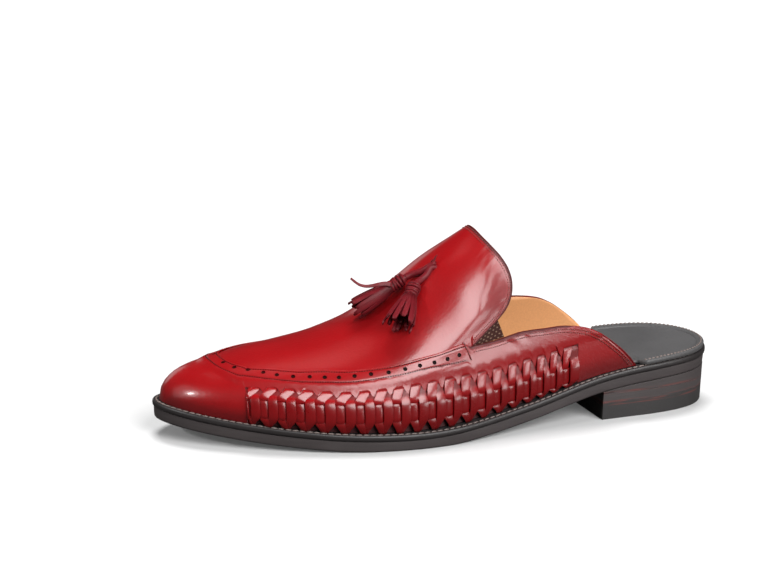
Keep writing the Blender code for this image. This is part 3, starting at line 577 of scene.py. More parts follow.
def sheet(bm, columns, rows, surface, size=(1.0, 1.0), flip=False):
    """A grid bent onto surface(column, row), which gives millimetre points and, if wanted, shade."""
    layer = bm.loops.layers.uv["flow"]
    shade = bm.verts.layers.float["shade"]
    made = bmesh.ops.create_grid(bm, x_segments=columns, y_segments=rows, size=0.5)["verts"]
    flat = np.array([v.co for v in made])
    i = np.rint((flat[:, 0] + 0.5) * columns).astype(int)
    j = np.rint((flat[:, 1] + 0.5) * rows).astype(int)
    given = surface(i, j)
    points, dark = given if isinstance(given, tuple) else (given, np.zeros(len(made)))
    faces = {face for vertex in made for face in vertex.link_faces}
    for face in faces:
        for loop in face.loops:
            co = loop.vert.co
            loop[layer].uv = ((co.x + 0.5) * size[0], (co.y + 0.5) * size[1])
    for vertex, point, tone in zip(made, place(points), dark):
        vertex.co = point
        vertex[shade] = tone
    if flip:
        bmesh.ops.reverse_faces(bm, faces=list(faces))
    return made


def merge_points(bm):
    """Joins points that coincide and drops the faces that collapse."""
    bmesh.ops.remove_doubles(bm, verts=bm.verts, dist=MERGE)
    bmesh.ops.dissolve_degenerate(bm, edges=bm.edges, dist=MERGE)


def mesh_of(bm, name):
    mesh = bpy.data.meshes.new(name)
    bm.to_mesh(mesh)
    bm.free()
    return mesh


def add_object(name, data):
    made = bpy.data.objects.new(name, data)
    bpy.context.scene.collection.objects.link(made)
    return made


def piece(bm, name, finish, slot, *nodes, sharp=50, thick=0.0):
    """Object from the mesh, which rides on the shoe and stands for the named nodes.

    Faces that meet at more than sharp degrees keep their edge. thick gives a sheet that many
    millimetres of thickness on its inner side.
    """
    merge_points(bm)
    if not thick:
        bmesh.ops.recalc_face_normals(bm, faces=bm.faces)
    mesh = mesh_of(bm, name)
    mesh.shade_smooth()
    mesh.set_sharp_from_angle(angle=math.radians(sharp))
    mesh.materials.append(bpy.data.materials[finish])
    made = add_object(name, mesh)
    if thick:
        solid = made.modifiers.new("thickness", "SOLIDIFY")
        solid.thickness = thick * MM
        solid.offset = -1.0
    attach(made, "root")
    if nodes:
        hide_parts(*nodes)
    return made


def along_line(points):
    """Length run at each point of a polyline."""
    return np.concatenate([[0.0], np.cumsum(np.linalg.norm(np.diff(points, axis=0), axis=1))])


def resampled(points, count):
    run = along_line(points)
    at = np.linspace(0, run[-1], count)
    return np.stack([hermite(run, points[:, k], at) for k in range(points.shape[1])], -1)


def frames_along(points, up):
    """Unit tangent, side and raised direction at each point of a line, with up as a hint."""
    tangent = unit_vectors(np.gradient(points, axis=0))
    side = unit_vectors(np.cross(up, tangent))
    return tangent, side, np.cross(tangent, side)


END_CAP = 0.4           # how far a bar's end bulges, as a share of its radius


def tube(bm, points, radius, up=(0, 0, 1), around=8, flat=1.0):
    """Round or oval bar along a line, closed at its ends; the radius may change along it."""
    points = np.asarray(points, float)
    radius = np.broadcast_to(radius, len(points)).copy()
    tangent, side, raised = frames_along(points, np.broadcast_to(up, points.shape))
    points = np.concatenate([points[:1] - tangent[:1] * radius[0] * END_CAP, points,
                             points[-1:] + tangent[-1:] * radius[-1] * END_CAP])
    side = np.concatenate([side[:1], side, side[-1:]])
    raised = np.concatenate([raised[:1], raised, raised[-1:]])
    radius = np.concatenate([[0.0], radius, [0.0]])

    def wall(i, j):
        angle = -2 * math.pi * (j % around) / around
        return (points[i] + side[i] * (radius[i] * np.cos(angle))[:, None]
                + raised[i] * (radius[i] * flat * np.sin(angle))[:, None])
    return sheet(bm, len(points) - 1, around, wall, size=(float(along_line(points)[-1]), 1.0))


def evenly_along(route, pitch):
    """Length run at each point of a line, and at the middles of the stitches that fill it."""
    run = along_line(route)
    count = max(int(run[-1] / pitch), 1)
    return run, (np.arange(count) + 0.5) * run[-1] / count


def points_at(route, run, at):
    return np.stack([np.interp(at, run, route[:, k]) for k in range(3)], -1)


def stitch_row(bm, girths, stations, lift, pitch, length, width, high=0.6):
    """Small rounded stitches laid end to end along a line on the upper."""
    route = skin(girths, stations, lift + creases(girths, stations))
    run, at = evenly_along(route, pitch)
    tangents = unit_vectors(points_at(route, run, at + 0.3) - points_at(route, run, at - 0.3))
    normals = last_normal(np.interp(at, run, girths), np.interp(at, run, stations))
    stitches(bm, points_at(route, run, at), tangents, normals, length, width, high)


STITCHES_AT_ONCE = 40   # one large mesh is slow to add to


def stitches(bm, centres, tangents, normals, length, width, high=0.6):
    """Adds a small rounded stitch at each centre; high is its height as a share of its width."""
    places = place(centres)
    for first in range(0, len(places), STITCHES_AT_ONCE):
        few = new_mesh()
        for k in range(first, min(first + STITCHES_AT_ONCE, len(places))):
            across = unit_vectors(np.cross(normals[k], tangents[k]))
            raised = np.cross(tangents[k], across)
            axes = (tangents[k] * length / 2, across * width / 2, raised * width * high)
            matrix = (Matrix(np.stack(axes, -1).tolist()) * MM).to_4x4()
            matrix.translation = Vector(places[k])
            bmesh.ops.create_uvsphere(few, u_segments=6, v_segments=4, radius=1.0,
                                      matrix=matrix @ Matrix.Rotation(math.pi / 2, 4, "Y"))
        mesh = mesh_of(few, "stitches")
        bm.from_mesh(mesh)
        bpy.data.meshes.remove(mesh)


def offset_line(girths, stations, distance):
    """A line on the upper moved sideways over the leather by a distance in millimetres."""
    length = girth_length(stations)
    up = girths * length
    station_step, up_step = np.gradient(stations), np.gradient(up)
    run = np.hypot(station_step, up_step)
    return (up + station_step / run * distance) / length, stations - up_step / run * distance


# Across a cut strip, from edge to edge: place in half widths, and how far it is rolled down there.
STRIP_PLACES = np.array([-1.0, -0.92, -0.6, 0.0, 0.6, 0.92, 1.0])
STRIP_DROPS = np.array([0.30, 0.08, 0.01, 0.0, 0.01, 0.08, 0.30])


def band(points, half, normals):
    """Crowned strip surface over a line of points: rows run across it, rolled down at both edges."""
    tangent = unit_vectors(np.gradient(points, axis=0))
    across = unit_vectors(np.cross(normals, tangent))

    def strip(i, j):
        aside = across[i] * (half[i] * STRIP_PLACES[j])[:, None]
        return points[i] + aside - normals[i] * STRIP_DROPS[j][:, None]
    return strip, len(STRIP_PLACES) - 1


# ---------------------------------------------------------------- materials

def group(name, inputs, outputs):
    """Empty node group with its sockets: the tree, its input node and its output node."""
    tree = bpy.data.node_groups.new(name, "ShaderNodeTree")
    for socket, kind, value in inputs:
        made = tree.interface.new_socket(socket, in_out="INPUT", socket_type=kind)
        if value is not None:
            made.default_value = value
    for socket, kind in outputs:
        tree.interface.new_socket(socket, in_out="OUTPUT", socket_type=kind)
    return tree, tree.nodes.new("NodeGroupInput"), tree.nodes.new("NodeGroupOutput")


def math_node(tree, operation, *values, clamp=False):
    node = tree.nodes.new("ShaderNodeMath")
    node.operation = operation
    node.use_clamp = clamp
    for socket, value in zip(node.inputs, values):
        if isinstance(value, (int, float)):
            socket.default_value = value
        else:
            tree.links.new(value, socket)
    return node.outputs[0]


def texture(tree, kind, vector, scale, **settings):
    node = tree.nodes.new(kind)
    for key, value in settings.items():
        if key in node.inputs:
            node.inputs[key].default_value = value
        else:
            setattr(node, key, value)
    tree.links.new(vector, node.inputs["Vector"])
    if isinstance(scale, (int, float)):
        node.inputs["Scale"].default_value = scale
    else:
        tree.links.new(scale, node.inputs["Scale"])
    return node


def make_grain_group():
    """Fine pores and soft pebbles of smooth hide."""
    tree, given, out = group("hide_grain", [("Vector", "NodeSocketVector", None),
                                            ("Scale", "NodeSocketFloat", 900.0)],
                             [("Height", "NodeSocketFloat"), ("Pores", "NodeSocketFloat")])
    pebble = texture(tree, "ShaderNodeTexVoronoi", given.outputs["Vector"], given.outputs["Scale"],
                     feature="SMOOTH_F1")
    fine = math_node(tree, "MULTIPLY", given.outputs["Scale"], 0.35)
    swell = texture(tree, "ShaderNodeTexNoise", given.outputs["Vector"], fine, Detail=3.0)
    pores = math_node(tree, "SUBTRACT", 1.0, math_node(tree, "MULTIPLY", pebble.outputs["Distance"], 1.3),
                      clamp=True)
    height = math_node(tree, "ADD", math_node(tree, "MULTIPLY", pores, 0.45), swell.outputs["Fac"])
    tree.links.new(height, out.inputs["Height"])
    tree.links.new(pores, out.inputs["Pores"])


def make_tone_group():
    """Slow cloudy change of tone, 0 to 1."""
    tree, given, out = group("soft_tone", [("Vector", "NodeSocketVector", None),
                                           ("Scale", "NodeSocketFloat", 30.0),
                                           ("Contrast", "NodeSocketFloat", 1.6)],
                             [("Mask", "NodeSocketFloat")])
    cloud = texture(tree, "ShaderNodeTexNoise", given.outputs["Vector"], given.outputs["Scale"], Detail=4.0)
    centred = math_node(tree, "SUBTRACT", cloud.outputs["Fac"], 0.5)
    spread = math_node(tree, "MULTIPLY", centred, given.outputs["Contrast"])
    tree.links.new(math_node(tree, "ADD", spread, 0.5, clamp=True), out.inputs["Mask"])


def make_fibre_group():
    """Streaks along the first axis of the vector, for cut edges, thread and stacked leather."""
    tree, given, out = group("fibre", [("Vector", "NodeSocketVector", None),
                                       ("Scale", "NodeSocketFloat", 400.0),
                                       ("Stretch", "NodeSocketVector", (0.1, 0.1, 1.0))],
                             [("Height", "NodeSocketFloat"), ("Mask", "NodeSocketFloat")])
    squeeze = tree.nodes.new("ShaderNodeVectorMath")
    squeeze.operation = "MULTIPLY"
    tree.links.new(given.outputs["Vector"], squeeze.inputs[0])
    tree.links.new(given.outputs["Stretch"], squeeze.inputs[1])
    streak = texture(tree, "ShaderNodeTexNoise", squeeze.outputs[0], given.outputs["Scale"], Detail=4.0,
                     Roughness=0.65)
    sharp = math_node(tree, "MULTIPLY", math_node(tree, "SUBTRACT", streak.outputs["Fac"], 0.35), 3.0,
                      clamp=True)
    tree.links.new(streak.outputs["Fac"], out.inputs["Height"])
    tree.links.new(sharp, out.inputs["Mask"])


def use_group(tree, name, vector, **values):
    node = tree.nodes.new("ShaderNodeGroup")
    node.node_tree = bpy.data.node_groups[name]
    tree.links.new(vector, node.inputs["Vector"])
    for key, value in values.items():
        node.inputs[key].default_value = value
    return node


MIX_INPUTS = (0, 6, 7)  # sockets of a colour mix: factor and the two colours
MIX_OUTPUT = 2


def mix_colour(tree, factor, first, second):
    node = tree.nodes.new("ShaderNodeMix")
    node.data_type = "RGBA"
    for number, value in zip(MIX_INPUTS, (factor, first, second)):
        socket = node.inputs[number]
        if isinstance(value, (int, float)):
            socket.default_value = value
        elif isinstance(value, tuple):
            socket.default_value = (*value, 1.0)
        else:
            tree.links.new(value, socket)
    return node.outputs[MIX_OUTPUT]


def toned(colour, share):
    return tuple(share * part for part in colour)


def streak_mask(tree, coordinates, heights):
    """Broken level lines at some heights, in millimetres, where the ink has missed a joint."""
    parts = tree.nodes.new("ShaderNodeSeparateXYZ")
    tree.links.new(coordinates, parts.inputs["Vector"])
    stretched = tree.nodes.new("ShaderNodeVectorMath")
    stretched.operation = "MULTIPLY"
    stretched.inputs[1].default_value = (60.0, 60.0, 900.0)
    tree.links.new(coordinates, stretched.inputs[0])
    patches = texture(tree, "ShaderNodeTexNoise", stretched.outputs["Vector"], 1.0, Detail=2.0)
    broken = math_node(tree, "MULTIPLY_ADD", patches.outputs["Fac"], 5.0, -2.2, clamp=True)
    total = None
    for height, reach in heights:
        off = math_node(tree, "ABSOLUTE", math_node(tree, "SUBTRACT", parts.outputs["Z"], height * MM))
        line = math_node(tree, "MULTIPLY_ADD", off, -1.0 / (reach * MM), 1.0, clamp=True)
        total = line if total is None else math_node(tree, "MAXIMUM", total, line)
    return math_node(tree, "MULTIPLY", total, broken)


TONE_CONTRAST = 1.7
PORE_TONE = 0.72        # pores are darker than the deep colour by this share
PORE_WEIGHT = 0.35      # and this much of that colour shows in them
STREAK_COLOUR = (0.14, 0.045, 0.04)
RELIEF_STRENGTH = 0.6
DULL_GAIN = -2.4        # how soon a shade below zero reaches its full roughness
DULL_ROUGHNESS = 0.32


def finish_material(name, light, deep, roughness, tone_scale=28.0, grain=1100.0, relief=0.06,
                    coat=0.0, coat_roughness=0.1, specular=0.5, shade_to=None, fibre=None,
                    streaks=None):
    """Principled surface: cloudy colour between deep and light, pored relief and roughness.

    relief is in millimetres. shade_to is the colour that the piece's shade attribute leads to,
    whatever its sign, and the coat is lost by as much; the attribute holds painted shade, and on the
    top edges a real stain. Below zero it makes the surface rougher too.
    """
    made = bpy.data.materials.new(name)
    made.use_nodes = True
    tree = made.node_tree
    shader = tree.nodes["Principled BSDF"]
    coordinates = tree.nodes.new("ShaderNodeTexCoord").outputs["Object"]
    cloud = use_group(tree, "soft_tone", coordinates, Scale=tone_scale, Contrast=TONE_CONTRAST)
    tone = cloud.outputs["Mask"]
    if fibre:
        surface = use_group(tree, "fibre", coordinates, Scale=grain, Stretch=fibre)
        marks = surface.outputs["Mask"]
    else:
        surface = use_group(tree, "hide_grain", coordinates, Scale=grain)
        marks = surface.outputs["Pores"]
    colour = mix_colour(tree, tone, deep, light)
    hollow = math_node(tree, "MULTIPLY", math_node(tree, "SUBTRACT", 1.0, marks), PORE_WEIGHT)
    colour = mix_colour(tree, hollow, colour, toned(deep, PORE_TONE))
    if streaks is not None:
        colour = mix_colour(tree, streak_mask(tree, coordinates, streaks), colour, STREAK_COLOUR)
    if shade_to is not None:
        shade = tree.nodes.new("ShaderNodeAttribute")
        shade.attribute_name = "shade"
        stained = math_node(tree, "ABSOLUTE", shade.outputs["Fac"])
        colour = mix_colour(tree, stained, colour, shade_to)
    tree.links.new(colour, shader.inputs["Base Color"])
    low, high = roughness
    uneven = math_node(tree, "ADD", low, math_node(tree, "MULTIPLY", tone, high - low))
    if shade_to is not None:
        dull = math_node(tree, "MULTIPLY", shade.outputs["Fac"], DULL_GAIN, clamp=True)
        uneven = math_node(tree, "ADD", uneven, math_node(tree, "MULTIPLY", dull, DULL_ROUGHNESS))
    tree.links.new(uneven, shader.inputs["Roughness"])
    bump = tree.nodes.new("ShaderNodeBump")
    bump.inputs["Strength"].default_value = RELIEF_STRENGTH
    bump.inputs["Distance"].default_value = relief * MM
    tree.links.new(surface.outputs["Height"], bump.inputs["Height"])
    tree.links.new(bump.outputs["Normal"], shader.inputs["Normal"])
    shader.inputs["Specular IOR Level"].default_value = specular
    if shade_to is None:
        shader.inputs["Coat Weight"].default_value = coat
    else:
        bare = math_node(tree, "SUBTRACT", 1.0, stained)
        tree.links.new(math_node(tree, "MULTIPLY", bare, coat), shader.inputs["Coat Weight"])
    shader.inputs["Coat Roughness"].default_value = coat_roughness
    return made


def make_materials(colours):
    make_grain_group()
    make_tone_group()
    make_fibre_group()
    red, deep = tuple(colours.leather), tuple(colours.leather_deep)
    lining, tassel = tuple(colours.lining), tuple(colours.tassel)
    seam, laid = tuple(colours.thread), tuple(colours.welt_thread)
    edge, sock = tuple(colours.edge), tuple(colours.sock)
    twisted = (1.0, 1.0, 1.0)
    woven = (1.0, 1.0, 0.2)
    cut = (0.08, 0.08, 1.0)
    # the red leather is led to near black by a real stain on the top edges, and by painted shade at the
    # seams, the recess, towards the welt and on the tongue
    finish_material("red_leather", red, deep, (0.27, 0.34), coat=0.36, coat_roughness=0.15,
                    relief=0.1, shade_to=(0.04, 0.003, 0.004))
    # the straps' painted shade leads to this dark red
    finish_material("strap_leather", red, deep, (0.24, 0.32), coat=0.3, coat_roughness=0.15,
                    shade_to=toned(deep, 0.2), tone_scale=60.0)
    finish_material("bound_edge", toned(deep, 0.45), toned(deep, 0.3), (0.5, 0.6), specular=0.3)
    finish_material("lining_leather", lining, toned(lining, 0.82), (0.5, 0.62), tone_scale=22.0,
                    relief=0.08)
    finish_material("maroon_thread", toned(seam, 1.3), toned(seam, 0.7), (0.5, 0.65), fibre=twisted,
                    grain=2500.0, specular=0.25)
    finish_material("edge_thread", (0.24, 0.06, 0.05), (0.14, 0.03, 0.028), (0.45, 0.6),
                    fibre=twisted, grain=2500.0)
    # painted shade: the cups behind the holes are near black
    finish_material("hole_painted_shade", (0.02, 0.006, 0.006), (0.01, 0.003, 0.003), (0.6, 0.8), specular=0.1)
    # the strips lead to this near-black colour where painted shade is laid on them near the head
    finish_material("oxblood_strips", tassel, toned(tassel, 0.5), (0.36, 0.5), specular=0.2,
                    tone_scale=120.0, shade_to=toned(tassel, 0.12))
    finish_material("gore_yarn", (0.33, 0.21, 0.14), (0.20, 0.11, 0.07), (0.6, 0.8), fibre=woven,
                    grain=2500.0)
    finish_material("gore_ground", (0.06, 0.014, 0.009), (0.03, 0.008, 0.005), (0.6, 0.8),
                    specular=0.2, fibre=woven, grain=1800.0)
    finish_material("inked_welt", toned(edge, 0.8), toned(edge, 0.6), (0.42, 0.52), coat=0.08,
                    coat_roughness=0.25, fibre=(0.15, 0.15, 1.0), grain=500.0)
    finish_material("welt_thread", laid, toned(laid, 0.6), (0.55, 0.7), fibre=twisted, grain=1500.0,
                    relief=0.12)
    # the sole's and lifts' sides are the welt's ink made lighter, partly their own lighter edge and partly
    # painted light for the floor's bounce
    finish_material("inked_sole_painted_light", toned(edge, 2.3), toned(edge, 1.6), (0.42, 0.55), fibre=cut,
                    grain=700.0, relief=0.05)
    finish_material("inked_lifts_painted_light", toned(edge, 2.3), toned(edge, 1.7), (0.42, 0.55), fibre=cut,
                    grain=700.0, relief=0.05, streaks=((14.2, 1.1), (9.3, 1.5)))
    finish_material("black_rubber", (0.045, 0.042, 0.042), (0.032, 0.03, 0.03), (0.45, 0.58),
                    grain=1400.0, streaks=((9.0, 1.2), (7.6, 0.5)))
    finish_material("dark_sock", sock, toned(sock, 0.7), (0.42, 0.55), tone_scale=24.0)


# ---------------------------------------------------------------- settings

class MULE_PG_sizes(bpy.types.PropertyGroup):
    """Sizes that a maker would change."""
    hole: FloatProperty(name="Hole", description="Diameter of the holes in the apron band",
                        default=2.2 * MM, unit="LENGTH")
    seam_pitch: FloatProperty(name="Seam pitch", description="Length of one stitch and its gap",
                              default=1.25 * MM, unit="LENGTH")
    welt_pitch: FloatProperty(name="Welt pitch", description="Length of one welt stitch and its gap",
                              default=3.5 * MM, unit="LENGTH")
    strap_thickness: FloatProperty(name="Strap thickness", description="Thickness of the woven straps",
                                   default=0.35 * MM, unit="LENGTH")
    tassel_strips: IntProperty(name="Tassel strips", description="Strips in the outer ring of a tassel",
                               default=13, min=6, max=40)
    thong: FloatProperty(name="Thong", description="Radius of the thong that carries the tassels",
                         default=1.7 * MM, unit="LENGTH")


def colour_property(name, description, default):
    return FloatVectorProperty(name=name, description=description, subtype="COLOR", size=3,
                               default=default, min=0.0, max=1.0)


class MULE_PG_colours(bpy.types.PropertyGroup):
    """Colours that a maker would change."""
    leather: colour_property("Leather", "Smooth red leather where it is lightest", (0.30, 0.004, 0.006))
    leather_deep: colour_property("Leather shade", "The same leather where it is deepest",
                                  (0.235, 0.003, 0.0045))
    tassel: colour_property("Tassel", "Leather of the tassels and thong", (0.19, 0.012, 0.018))
    lining: colour_property("Lining", "Leather that lines the quarters", (0.76, 0.345, 0.135))
    thread: colour_property("Thread", "Thread of the upper's seams", (0.06, 0.008, 0.008))
    edge: colour_property("Edge", "Ink of the welt and the sole's edge", (0.032, 0.027, 0.027))
    welt_thread: colour_property("Welt thread", "Thread laid along the welt", (0.22, 0.17, 0.155))
    sock: colour_property("Sock", "Leather of the sock under the foot", (0.082, 0.08, 0.081))


# ---------------------------------------------------------------- stage

CAMERA_PLACE = (-0.56466, -1.30586, 0.45342)
CAMERA_TURN = (74.7786, -1.5837, -21.7581)      # degrees
CAMERA_LENS = 135.866
SENSOR = 36.0

# Name, direction that the light comes from, strength, and how wide it looks from the shoe, in degrees.
LIGHTS = (
    ("key_light", (0.22, -0.72, 0.62), 3.8, 43.0), ("low_light", (0.667, -0.741, 0.07), 0.9, 20.0),
    ("toe_light", (-0.847, -0.18, 0.50), 1.1, 6.0), ("toe_fill", (-0.85, 0.12, 0.47), 0.35, 46.0),
    ("rim_light", (-0.08, 0.985, 0.14), 0.1, 24.0),
)
# From above and behind, felt by matt surfaces and not mirrored by the glossy ones.
TOP_LIGHT = ("top_light", (0.08, 0.36, 0.93), 3.5, 26.0)
TABLE_TONE = (0.05, 0.048, 0.047)       # the floor as the leather mirrors it
PAPER_GREY = 0.52                       # and as it is seen
PAPER_GLOW = 0.08
SKY_MIRRORED = 0.025
SKY_SEEN = 0.93
FLOOR_HALF = 3.0


def soft_sun(name, direction, strength, spread):
    """Distant soft light that comes from a direction."""
    data = bpy.data.lights.new(name, "SUN")
    data.energy = strength
    data.angle = math.radians(spread)
    made = add_object(name, data)
    made.rotation_euler = Vector(direction).to_track_quat("Z", "Y").to_euler()
    return made


def grey(value):
    return (value, value, value)


def floor_paper():
    """White paper: bright where it is seen, and a dim table where the leather mirrors it."""
    made = bpy.data.materials.new("floor_paper")
    made.use_nodes = True
    tree = made.node_tree
    shader = tree.nodes["Principled BSDF"]
    seen = tree.nodes.new("ShaderNodeLightPath").outputs["Is Camera Ray"]
    colour = mix_colour(tree, seen, TABLE_TONE, grey(PAPER_GREY))
    glow = mix_colour(tree, seen, grey(0.0), grey(PAPER_GLOW))
    tree.links.new(colour, shader.inputs["Base Color"])
    tree.links.new(glow, shader.inputs["Emission Color"])
    shader.inputs["Emission Strength"].default_value = 1.0
    shader.inputs["Roughness"].default_value = 0.8
    shader.inputs["Specular IOR Level"].default_value = 0.0
    return made


class MULE_OT_stage(bpy.types.Operator):
    """Pale floor, soft light and the camera"""
    bl_idname = "mule.stage"
    bl_label = "Stage"

    def execute(self, context):
        scene = context.scene
        bm = bmesh.new()
        bmesh.ops.create_grid(bm, x_segments=4, y_segments=4, size=FLOOR_HALF)
        floor = add_object("floor", mesh_of(bm, "floor"))
        floor.data.materials.append(floor_paper())
        world = bpy.data.worlds.new("studio")
        world.use_nodes = True
        tree = world.node_tree
        seen = tree.nodes.new("ShaderNodeLightPath").outputs["Is Camera Ray"]
        sky = mix_colour(tree, seen, grey(SKY_MIRRORED), grey(SKY_SEEN))
        tree.links.new(sky, tree.nodes["Background"].inputs["Color"])
        scene.world = world
        for light in LIGHTS:
            soft_sun(*light)
        soft_sun(*TOP_LIGHT).visible_glossy = False
        camera = add_object("camera", bpy.data.cameras.new("camera"))
        camera.data.sensor_width = SENSOR
        camera.data.lens = CAMERA_LENS
        camera.data.clip_start = 0.05
        camera.location = CAMERA_PLACE
        camera.rotation_euler = Euler([math.radians(angle) for angle in CAMERA_TURN], "XYZ")
        scene.camera = camera
        scene.view_settings.view_transform = "Standard"
        return {"FINISHED"}


class MULE_OT_finishes(bpy.types.Operator):
    """Leathers, threads and rubber of the shoe"""
    bl_idname = "mule.finishes"
    bl_label = "Finishes"

    def execute(self, context):
        make_materials(context.scene.mule_colours)
        return {"FINISHED"}


# ---------------------------------------------------------------- the upper

SHELL_THICK = 0.5       # leather that is modelled as a sheet over the lining
LINING_DEPTH = 1.95     # the lining under the last's surface
LINING_THICK = 0.2
LINING_CREASES = 0.7    # share of the creases that shows on it
EDGE_STAIN = 0.9        # how dark a top edge is stained
EDGE_FULL = 1.3         # how far in from the edge it is as dark as that
EDGE_REACH = 2.0        # and how far in the stain ends
QUARTER_STAIN_CUT = 0.7 # the quarters' stain is narrower than the tongue's by this
EDGE_UNIT = 12.7        # weave unit behind which the side leather's top is a bare edge
# painted shade along the apron band's two stitched rows, where the seam is drawn in
SEAM_PAINTED_SHADE = 0.55
FOOT_PAINTED_SHADE = 0.66       # painted shade: the side leather is darker towards the welt, where little light reaches
FOOT_FULL = 0.5
FOOT_REACH = 9.0
# the tongue is rougher towards its edge and carries this much painted shade there
TONGUE_DULL_SHADE = 0.24
FOOT_DROP = 0.45        # how far the lowest row is lowered onto the welt
LAP_GROOVE = 0.12       # the vamp dips where it slips under the apron


def edge_shade(distance):
    return -EDGE_STAIN * (1 - smooth(distance, EDGE_FULL, EDGE_REACH))


def dulled_and_shaded(gap, share):
    """The tongue is rougher towards its edge and darker there with painted shade, which takes the sheen
    off, but not on the edge's own stain.
    """
    along = smooth(share, 0.31, 0.40) * (1 - smooth(share, 0.46, 0.64))
    return TONGUE_DULL_SHADE * (1 - smooth(gap, 8, 26)) * along * smooth(gap, 2.6, 4.0)


def add_side(bm, side):
    columns = side_columns()

    def surface(i, j):
        station, share, lift = side_spot(columns[i], j)
        girth = girth_of(side, share)
        lift = lift + creases(girth, station) * (j > SLIT_ROW)
        points = skin(girth, station, lift)
        points[:, 2] -= np.where(j == 0, FOOT_DROP, 0.0)
        unit = columns[i] - FAN
        edge_share = band_spots(np.minimum(columns[i], FAN + UNITS))[2][1]
        below = (edge_share - share) * girth_length(station)
        # painted shade along the two stitched rows; behind the apron the top edge keeps its own stain
        seam = SEAM_PAINTED_SHADE * ((j == LOW_ROW) | (j == HIGH_ROW))
        shade = np.where(unit > EDGE_UNIT, edge_shade(below + QUARTER_STAIN_CUT), seam)
        # painted shade towards the welt
        painted_foot_shade = FOOT_PAINTED_SHADE * (1 - smooth(share * girth_length(station), FOOT_FULL, FOOT_REACH))
        shade = np.where(shade < 0, shade, np.maximum(shade, painted_foot_shade))
        # painted shade: the recess behind the straps is coloured dark and made rough
        inside = (unit > 0.001) & (unit < UNITS - 0.001) & (j <= SLIT_ROW)
        shade = np.where(inside, -1.0, shade)
        return points, shade
    sheet(bm, len(columns) - 1, TOP_ROW, surface, flip=side == INNER)


def add_vamp(bm, side):
    columns = np.concatenate([np.linspace(0, FAN, 49)[:-1], np.linspace(FAN, FAN + NOTCH, 105)])
    rows = 56
    tongue_columns = 26

    def front(i, j):
        across = j / rows
        station, share = vamp_spot(columns[i], across)
        girth = girth_of(side, share)
        lift = creases(girth, station) - LAP_GROOVE * np.exp(-((across - 0.05) / 0.03) ** 2)
        gap = tongue_gap(share, station)
        return skin(girth, station, lift), edge_shade(gap) * (share > 0.29) - dulled_and_shaded(gap, share)

    def tongue(i, j):
        share = vamp_spot(np.full(len(j), float(FAN + NOTCH)), j / rows)[1]
        station, share = tongue_spot(share, i / tongue_columns)
        girth = girth_of(side, share)
        gap = tongue_gap(share, station)
        return skin(girth, station, creases(girth, station)), edge_shade(gap) - dulled_and_shaded(gap, share)
    sheet(bm, len(columns) - 1, rows, front, flip=side == INNER)
    sheet(bm, tongue_columns, rows, tongue, flip=side == INNER)


def add_lining(bm, side):
    picked = side_columns()[::3]
    picked = np.unique(np.concatenate([picked, [FAN + NOTCH, FAN + UNITS + 1]]))
    levels = np.array([1, 4, 7, 9, 13, 16, LOW_ROW, LOW_ROW + 4, HIGH_ROW, TOP_ROW])
    front_columns, tongue_columns, rows = 60, 12, 20

    def wall(i, j):
        station, share, _ = side_spot(picked[i], levels[j])
        return skin(girth_of(side, share), station, -LINING_DEPTH)

    def front(i, j):
        station, share = vamp_spot(i * (FAN + NOTCH) / front_columns, j / rows)
        return skin(girth_of(side, share), station, -LINING_DEPTH)

    def tongue(i, j):
        share = vamp_spot(np.full(len(j), float(FAN + NOTCH)), j / rows)[1]
        station, share = tongue_spot(share, i / tongue_columns)
        girth = girth_of(side, share)
        return skin(girth, station, -LINING_DEPTH + LINING_CREASES * creases(girth, station))
    sheet(bm, len(picked) - 1, len(levels) - 1, wall, flip=side == INNER)
    sheet(bm, front_columns, rows, front, flip=side == INNER)
    sheet(bm, tongue_columns, rows, tongue, flip=side == INNER)


def tongue_rim(inset=0.0):
    """Girths and stations along the tongue's edge from the outer notch to the inner one."""
    shares = np.linspace(NOTCH_SHARE, 1.0, 60)
    edge = TONGUE.at("edge", shares)
    girths = np.concatenate([shares, 2 - shares[-2::-1]])
    stations = np.concatenate([edge, edge[-2::-1]])
    return offset_line(girths, stations, inset) if inset else (girths, stations)


LOWEST_SHARE = 0.004    # a quarter's rim stops here, over the feather line


def quarter_rim(side, inset=0.0):
    """Girths and stations along a quarter's topline and down its back edge."""
    columns = np.linspace(FAN + NOTCH, FAN + UNITS, 60)
    top_stations, top_shares, _ = side_spot(columns, np.full(60, TOP_ROW))
    rise = np.linspace(1.0, 0.0, 40)[1:]
    stations = np.concatenate([top_stations, [QUARTER_END], QUARTER_BACK.at("station", rise)])
    shares = np.concatenate([top_shares, [QUARTER_END_SHARE], QUARTER_END_SHARE * rise])
    if inset:
        shares, stations = offset_line(shares, stations, -inset)
        keep = shares > LOWEST_SHARE
        shares, stations = shares[keep], stations[keep]
    return girth_of(side, shares), stations


APRON_SEAM_END = 12.45  # units at which the band's seams and its bar tack end
BAR_TACK_UNIT = 12.4


def apron_line(which):
    """Girths and stations of one row of the apron band, from its outer rear end round the toe."""
    columns = np.concatenate([np.linspace(FAN + APRON_SEAM_END, FAN, 90), np.linspace(FAN, 0, 40)[1:]])
    stations, shares = band_spots(columns)[which]
    return (np.concatenate([shares, 2 - shares[-2::-1]]), np.concatenate([stations, stations[-2::-1]]))


# Holes of the apron band on the outer side, as (station, share); the inner side mirrors them.
HOLES = (
    (33.1, 0.854), (36.4, 0.721), (41.7, 0.649), (47.9, 0.583), (53.5, 0.535), (60.7, 0.502),
    (68.3, 0.484), (75.2, 0.462), (81.8, 0.444), (89.3, 0.430), (97.2, 0.412), (105.7, 0.385),
    (114.0, 0.361), (121.5, 0.336), (129.1, 0.313), (136.3, 0.298), (142.9, 0.288),
)


PUNCH_DEPTH = 3.0
